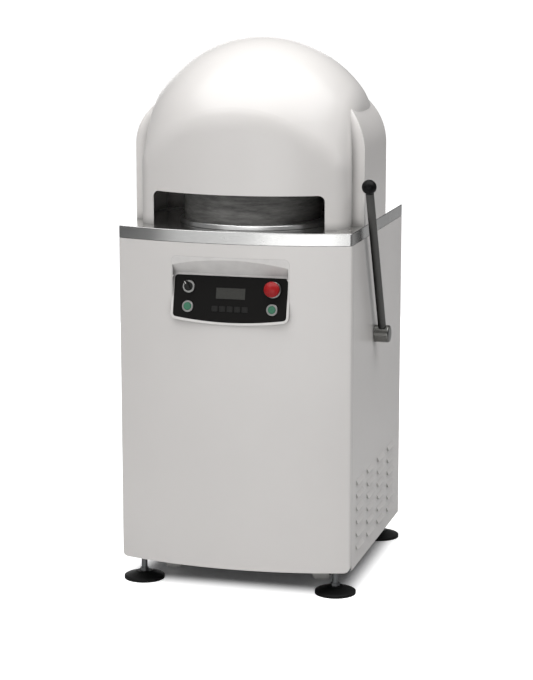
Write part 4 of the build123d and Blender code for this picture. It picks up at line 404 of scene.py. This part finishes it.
# Painted shade in the recess of the control housing, under its brow
make_finish(
    "white_moulding", MOULDED, {"Colour": rgb(0.79, 0.77, 0.75), "Gloss": 0.38}, relief=0.00002,
    shine={"Coat Weight": 0.15}, painted_shade=(0.05, 0.5),
)
make_finish(
    "stainless", BRUSHED, {
        "Colour": rgb(0.66, 0.66, 0.65), "Gloss": 0.24, "Grain": (5.0, 1100.0, 1100.0),
    }, relief=0.00001, shine=METAL,
)
make_finish(
    "galvanised", BRUSHED, {
        "Colour": rgb(0.20, 0.205, 0.21), "Gloss": 0.48, "Grain": (35.0, 35.0, 35.0),
        "Contrast": 0.2,
    }, relief=0.00005, shine=METAL,
)
make_finish(
    "plate_alloy", TURNED, {
        "Colour": rgb(0.82, 0.82, 0.81), "Gloss": 0.34, "Centre": HEAD_AXIS, "Contrast": 0.06,
    }, relief=0.00001, shine=METAL,
)
make_finish(
    "machined_steel", TURNED, {
        "Colour": rgb(0.52, 0.52, 0.53), "Gloss": 0.26, "Centre": HEAD_AXIS,
    }, relief=0.00002, shine=METAL,
)
# Worn edges with painted sheen along them
make_finish(
    "dark_steel", BRUSHED, {
        "Colour": rgb(0.19, 0.19, 0.18), "Gloss": 0.3, "Grain": (900.0, 30.0, 30.0),
        "Contrast": 0.1,
    }, relief=0.00001, shine=METAL, wear_and_sheen=(0.0012, grey(0.5)),
)
make_finish(
    "bezel_metal", BRUSHED, {"Colour": rgb(0.38, 0.38, 0.37), "Gloss": 0.3, "Contrast": 0.08},
    relief=0.000004, shine=METAL,
)
make_finish(
    "bronze", TURNED, {"Colour": rgb(0.55, 0.36, 0.16), "Gloss": 0.33, "Contrast": 0.1},
    relief=0.00002, shine=METAL,
)
make_finish(
    "black_knob", MOULDED, {"Colour": grey(0.004), "Gloss": 0.4, "Grain": 500.0},
    relief=0.00001, shine={"Specular IOR Level": 0.15},
)
make_finish(
    "black_fascia", MOULDED, {"Colour": rgb(0.0055, 0.005, 0.0045), "Gloss": 0.5},
    relief=0.00002, shine={"Specular IOR Level": 0.16},
)
make_finish(
    "display", MOULDED, {"Colour": rgb(0.046, 0.046, 0.041), "Gloss": 0.3, "Grain": 900.0},
    relief=0.0000005, shine={"Specular IOR Level": 0.35},
)
make_finish(
    "switch_black", MOULDED, {"Colour": rgb(0.013, 0.013, 0.012), "Gloss": 0.45},
    relief=0.00003, shine={"Specular IOR Level": 0.3},
)
make_finish(
    "green_plastic", MOULDED, {"Colour": rgb(0.037, 0.188, 0.105), "Gloss": 0.3},
    relief=0.00001, shine={"Coat Weight": 0.2},
)
make_finish(
    "red_plastic", MOULDED, {"Colour": rgb(0.38, 0.012, 0.014), "Gloss": 0.34},
    relief=0.00001, shine={"Specular IOR Level": 0.3},
)
make_finish(
    "foot_plastic", MOULDED, {"Colour": grey(0.006), "Gloss": 0.58, "Grain": 700.0},
    relief=0.00008, shine={"Specular IOR Level": 0.25},
)
make_finish(
    "roller_nylon", MOULDED, {"Colour": rgb(0.64, 0.63, 0.61), "Gloss": 0.5, "Grain": 600.0},
    relief=0.00004,
)
make_finish(
    "belt_rubber", MOULDED, {"Colour": grey(0.018), "Gloss": 0.7, "Grain": 450.0},
    relief=0.0001,
)
make_finish(
    "ring_steel", BRUSHED, {
        "Colour": rgb(0.145, 0.143, 0.137), "Gloss": 0.6, "Grain": (16.0, 16.0, 95.0),
        "Contrast": 0.6,
    }, relief=0.00006, shine={"Metallic": 0.1, "Specular IOR Level": 0.3},
)

for piece in frame["record"]["subparts"]:
    nodes[piece["node"]].material_slots[0].material = FINISHES[piece["material_slot"]]
# The head's ring is duller than the rest of its slot, and streaked
nodes["head_ring"].material_slots[0].material = FINISHES["ring_steel"]


# Modelling by hand

def start_fresh():
    """Object mode, with nothing selected."""
    if bpy.context.mode != "OBJECT":
        bpy.ops.object.mode_set(mode="OBJECT")
    bpy.ops.object.select_all(action="DESELECT")


def only(piece):
    """Object mode, with only the piece selected."""
    start_fresh()
    piece.select_set(True)
    bpy.context.view_layer.objects.active = piece


def pick(piece, faces=None, edges=None, points=None):
    """In edit mode on the piece, selects only the faces, edges or points that the test accepts."""
    only(piece)
    bpy.ops.object.mode_set(mode="EDIT")
    bpy.ops.mesh.select_mode(type="FACE" if faces else "EDGE" if edges else "VERT")
    bpy.ops.mesh.select_all(action="DESELECT")
    bpy.ops.object.mode_set(mode="OBJECT")
    for face in piece.data.polygons if faces else ():
        face.select = faces(face)
    spots = piece.data.vertices
    for edge in piece.data.edges if edges else ():
        edge.select = edges(spots[edge.vertices[0]].co, spots[edge.vertices[1]].co)
    for spot in spots if points else ():
        spot.select = points(spot.co)
    bpy.ops.object.mode_set(mode="EDIT")


def settle(piece, place):
    """Puts a piece at its place, leaves that place in its mesh, and smooths its shading."""
    only(piece)
    piece.matrix_world = place
    bpy.ops.object.transform_apply(location=True, rotation=True, scale=True)
    bpy.ops.object.shade_smooth_by_angle(angle=radians(SMOOTH_ANGLE))


def fit(piece, body, slot):
    """Gives a piece its finish and the body that it moves with."""
    piece.data.materials.clear()
    piece.data.materials.append(FINISHES[slot])
    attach(piece, body)


def own_copy(piece):
    """A copy of a piece, with a mesh of its own."""
    made = piece.copy()
    made.data = piece.data.copy()
    bpy.context.scene.collection.objects.link(made)
    return made


def repeat(model, name, places, body, slot):
    """Puts copies of the model, and at last the model itself, at the places."""
    for number, place in enumerate(places, 1):
        piece = model if number == len(places) else own_copy(model)
        settle(piece, place)
        piece.name = f"{name}_{number}"
        fit(piece, body, slot)


def on_plate(across, down, out=0.0, turn=0.0):
    """Where a piece stands on the control plate, facing out of it and turned on it."""
    spot = PLATE_TOP_EDGE + Vector((across, 0, 0)) - PLATE_UP * down + PLATE_OUT * out
    facing = Matrix((Vector((1, 0, 0)), PLATE_UP, PLATE_OUT)).transposed().to_4x4()
    return Matrix.Translation(spot) @ facing @ Matrix.Rotation(radians(turn), 4, "Z")


def rounded_block(name, size, corner, edge, base):
    """A low block on z = base with rounded corners in plan and a softened top."""
    start_fresh()
    bpy.ops.mesh.primitive_cube_add(size=1.0, location=(0, 0, base + size[2] / 2))
    piece = bpy.context.active_object
    piece.name = name
    piece.scale = size
    bpy.ops.object.transform_apply(location=True, rotation=False, scale=True)
    pick(piece, edges=lambda a, b: abs(a.x - b.x) + abs(a.y - b.y) < SAME)
    bpy.ops.mesh.bevel(offset=corner, segments=CORNER_STEPS, affect="EDGES")
    top = base + size[2]
    pick(piece, edges=lambda a, b: abs(a.z - top) + abs(b.z - top) < SAME)
    bpy.ops.mesh.bevel(offset=edge, segments=BLOCK_EDGE_STEPS, affect="EDGES")
    bpy.ops.object.mode_set(mode="OBJECT")
    return piece


def round_tube(name, radius, wall_thickness, length, edge):
    """A tube about the upright axis, centred on the origin, with its outer rims rounded."""
    start_fresh()
    bpy.ops.mesh.primitive_cylinder_add(
        vertices=TUBE_SIDES, radius=radius, depth=length, end_fill_type="NOTHING",
    )
    tube = bpy.context.active_object
    tube.name = name
    wall = tube.modifiers.new("wall", "SOLIDIFY")
    wall.thickness = wall_thickness
    wall.offset = -1.0
    bpy.ops.object.modifier_apply(modifier=wall.name)
    rim = radius - wall_thickness / 4
    pick(tube, edges=lambda a, b: abs(a.z - b.z) < SAME and min(a.xy.length, b.xy.length) > rim)
    bpy.ops.mesh.bevel(offset=edge, segments=TUBE_EDGE_STEPS, affect="EDGES")
    bpy.ops.object.mode_set(mode="OBJECT")
    return tube


def make_hexagon(screw, reach):
    """Makes a hexagon of the circle of points on the screw's top within reach of its axis. Points
    at a corner, and those halfway from a corner to the middle of a side, go out onto the hexagon."""
    step = 360 / SCREW_SIDES
    corner_steps = SCREW_SIDES // 6
    for every, first in ((corner_steps, 0), (corner_steps // 2, 1)):
        pick(screw, points=lambda spot: (
            spot.z > SCREW_HEIGHT - SAME and spot.xy.length < reach
            and round(degrees(atan2(spot.y, spot.x)) / step) % every == first
        ))
        from_side = (corner_steps / 2 - first) * step
        stretch = 1 / cos(radians(from_side))
        bpy.ops.transform.resize(value=(stretch, stretch, 1.0))


def screw_head(name):
    """A low round head with a hexagonal recess, whose lower half goes below z = 0."""
    start_fresh()
    bpy.ops.mesh.primitive_cylinder_add(
        vertices=SCREW_SIDES, radius=SCREW_RADIUS, depth=2 * SCREW_HEIGHT, end_fill_type="NGON",
        location=(0, 0, 0),
    )
    screw = bpy.context.active_object
    screw.name = name
    pick(screw, edges=lambda a, b: min(a.z, b.z) > SCREW_HEIGHT / 2)
    bpy.ops.mesh.bevel(offset=SCREW_EDGE, segments=SCREW_EDGE_STEPS, affect="EDGES")
    pick(screw, faces=lambda face: face.normal.z > UPWARD)
    bpy.ops.mesh.inset(thickness=RECESS_INSET)
    make_hexagon(screw, SCREW_RADIUS - SCREW_EDGE - RECESS_INSET / 2)
    pick(screw, faces=lambda face: face.normal.z > UPWARD and face.center.xy.length < ON_AXIS)
    bpy.ops.mesh.extrude_region_move(TRANSFORM_OT_translate={"value": (0, 0, -RECESS_DEPTH)})
    bpy.ops.object.mode_set(mode="OBJECT")
    return screw


def key_row():
    """Plain low keys under the display."""
    model = rounded_block("plate_key", KEY_SIZE, KEY_CORNER, KEY_EDGE, base=-KEY_SINK)
    from_middle = [number - (KEY_COUNT + 1) / 2 for number in range(1, KEY_COUNT + 1)]
    places = [on_plate(steps * KEY_PITCH, KEY_ROW_DOWN) for steps in from_middle]
    repeat(model, "plate_key", places, "cabinet", "switch_black")


def selector_mark():
    """The pale line on the selector's grip."""
    grip = nodes["selector_knob"].data.vertices
    proud = max((spot.co - PLATE_TOP_EDGE).dot(PLATE_OUT) for spot in grip)
    mark = rounded_block("selector_mark", MARK_SIZE, MARK_CORNER, MARK_EDGE, base=-MARK_SINK)
    middle = on_plate(*SELECTOR_PLACE, proud, SELECTOR_TURN)
    settle(mark, middle @ Matrix.Translation((0.0, MARK_OFFSET, 0.0)))
    fit(mark, "selector", "white_moulding")


def stop_collar():
    """The metal collar on the plate round the emergency stop."""
    wall = COLLAR_RADIUS - COLLAR_BORE
    collar = round_tube("stop_collar", COLLAR_RADIUS, wall, COLLAR_HEIGHT, COLLAR_EDGE)
    settle(collar, on_plate(*STOP_PLACE, COLLAR_HEIGHT / 2 - COLLAR_SINK))
    fit(collar, "cabinet", "bezel_metal")


def lever_sleeve():
    """A sleeve over the lever's rod, from the hub up to the knob."""
    length = SLEEVE_TOP - SLEEVE_FOOT
    sleeve = round_tube("lever_sleeve", SLEEVE_RADIUS, SLEEVE_WALL, length, SLEEVE_EDGE)
    lean = Matrix.Translation(ROD_MIDDLE) @ Matrix.Rotation(radians(ROD_LEAN), 4, "X")
    settle(sleeve, lean @ Matrix.Translation((0, 0, (SLEEVE_TOP + SLEEVE_FOOT) / 2)))
    fit(sleeve, "clutch_lever", "black_steel")


def panel_screws():
    """Screws round the rear panel and along the foot of the rear cover's back."""
    low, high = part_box("rear_panel")
    left, right = low.x + SCREW_MARGIN, high.x - SCREW_MARGIN
    foot, top = low.z + SCREW_MARGIN + PANEL_FOOT_MARGIN, high.z - SCREW_MARGIN
    middle = (left + right) / 2
    gaps = PANEL_SCREW_ROWS - 1
    rows = [foot + (top - foot) * step / gaps for step in range(PANEL_SCREW_ROWS)]
    spots = [(across, high.y, up) for up in rows for across in (left, right)]
    spots += [(middle, high.y, foot), (middle, high.y, top)]
    cover_low, cover_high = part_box("rear_cover")
    reach = (cover_high.x - cover_low.x) / 2 - SCREW_MARGIN - COVER_END_MARGIN
    half = COVER_SCREWS // 2
    for step in range(-half, half + 1):
        spots.append((middle + reach * step / half, cover_high.y, cover_low.z + SCREW_MARGIN))
    facing_back = Matrix.Rotation(radians(-90), 4, "X")
    places = [Matrix.Translation(spot) @ facing_back for spot in spots]
    repeat(screw_head("panel_screw"), "panel_screw", places, "cabinet", "bezel_metal")


key_row()
selector_mark()
stop_collar()
lever_sleeve()
panel_screws()


# Studio

def camera():
    lens = bpy.data.cameras.new("camera")
    lens.sensor_width = SENSOR_WIDTH
    lens.lens = CAMERA_LENS
    lens.clip_end = CAMERA_REACH
    eye = bpy.data.objects.new("camera", lens)
    eye.location = CAMERA_PLACE
    eye.rotation_euler = (radians(90 - CAMERA_PITCH), 0.0, radians(CAMERA_YAW))
    bpy.context.scene.collection.objects.link(eye)
    bpy.context.scene.camera = eye


def softbox(name, place, target, width, height, power):
    light = bpy.data.lights.new(name, "AREA")
    light.shape = "RECTANGLE"
    light.size = width
    light.size_y = height
    light.energy = power
    lamp = bpy.data.objects.new(name, light)
    lamp.location = place
    lamp.rotation_euler = (Vector(target) - Vector(place)).to_track_quat("-Z", "Y").to_euler()
    lamp.visible_camera = False
    bpy.context.scene.collection.objects.link(lamp)


def pale_floor():
    """Paper that throws back most of the light and fades to white, to the eye, past the shadow."""
    start_fresh()
    bpy.ops.mesh.primitive_plane_add(size=FLOOR_SIZE)
    floor = bpy.context.active_object
    floor.name = "floor"
    paper = bpy.data.materials.new("floor_paper")
    paper.use_nodes = True
    tree = paper.node_tree
    seen = node(tree, "LightPath").outputs["Is Camera Ray"]
    pale = mix_colours(tree, seen, grey(FLOOR_BOUNCE), grey(FLOOR_SEEN))
    from_centre = {0: object_place(tree), 1: SHADOW_CENTRE}
    local = node(tree, "VectorMath", from_centre, operation="SUBTRACT").outputs[0]
    away = node(tree, "VectorMath", {0: local}, operation="ABSOLUTE").outputs[0]
    ways = node(tree, "SeparateXYZ", {0: away}).outputs
    farther = {0: ways["X"], 1: ways["Y"], 2: SHADOW_CORNER}
    reach = node(tree, "Math", farther, operation="SMOOTH_MAX").outputs[0]
    fade = node(tree, "MapRange", {
        "Value": reach, "From Min": SHADOW_FADE_START, "From Max": SHADOW_FADE_END,
    }, interpolation_type="SMOOTHSTEP").outputs[0]
    glow = node(tree, "Math", {0: fade, 1: seen}, operation="MULTIPLY").outputs[0]
    shader = tree.nodes["Principled BSDF"]
    shader.inputs["Roughness"].default_value = FLOOR_ROUGHNESS
    shader.inputs["Specular IOR Level"].default_value = 0.0
    shader.inputs["Emission Color"].default_value = grey(1.0)
    tree.links.new(pale, shader.inputs["Base Color"])
    tree.links.new(glow, shader.inputs["Emission Strength"])
    floor.data.materials.append(paper)


def pale_room():
    """An even pale surround, seen white."""
    room = bpy.data.worlds.new("room")
    bpy.context.scene.world = room
    room.use_nodes = True
    tree = room.node_tree
    seen = node(tree, "LightPath").outputs["Is Camera Ray"]
    pale = mix_colours(tree, seen, rgb(*ROOM_LIGHT), grey(1.0))
    tree.links.new(pale, tree.nodes["Background"].inputs["Color"])


camera()
pale_floor()
pale_room()
for name, setting in SOFTBOXES.items():
    softbox(name, *setting)
bpy.context.scene.view_settings.view_transform = "Standard"
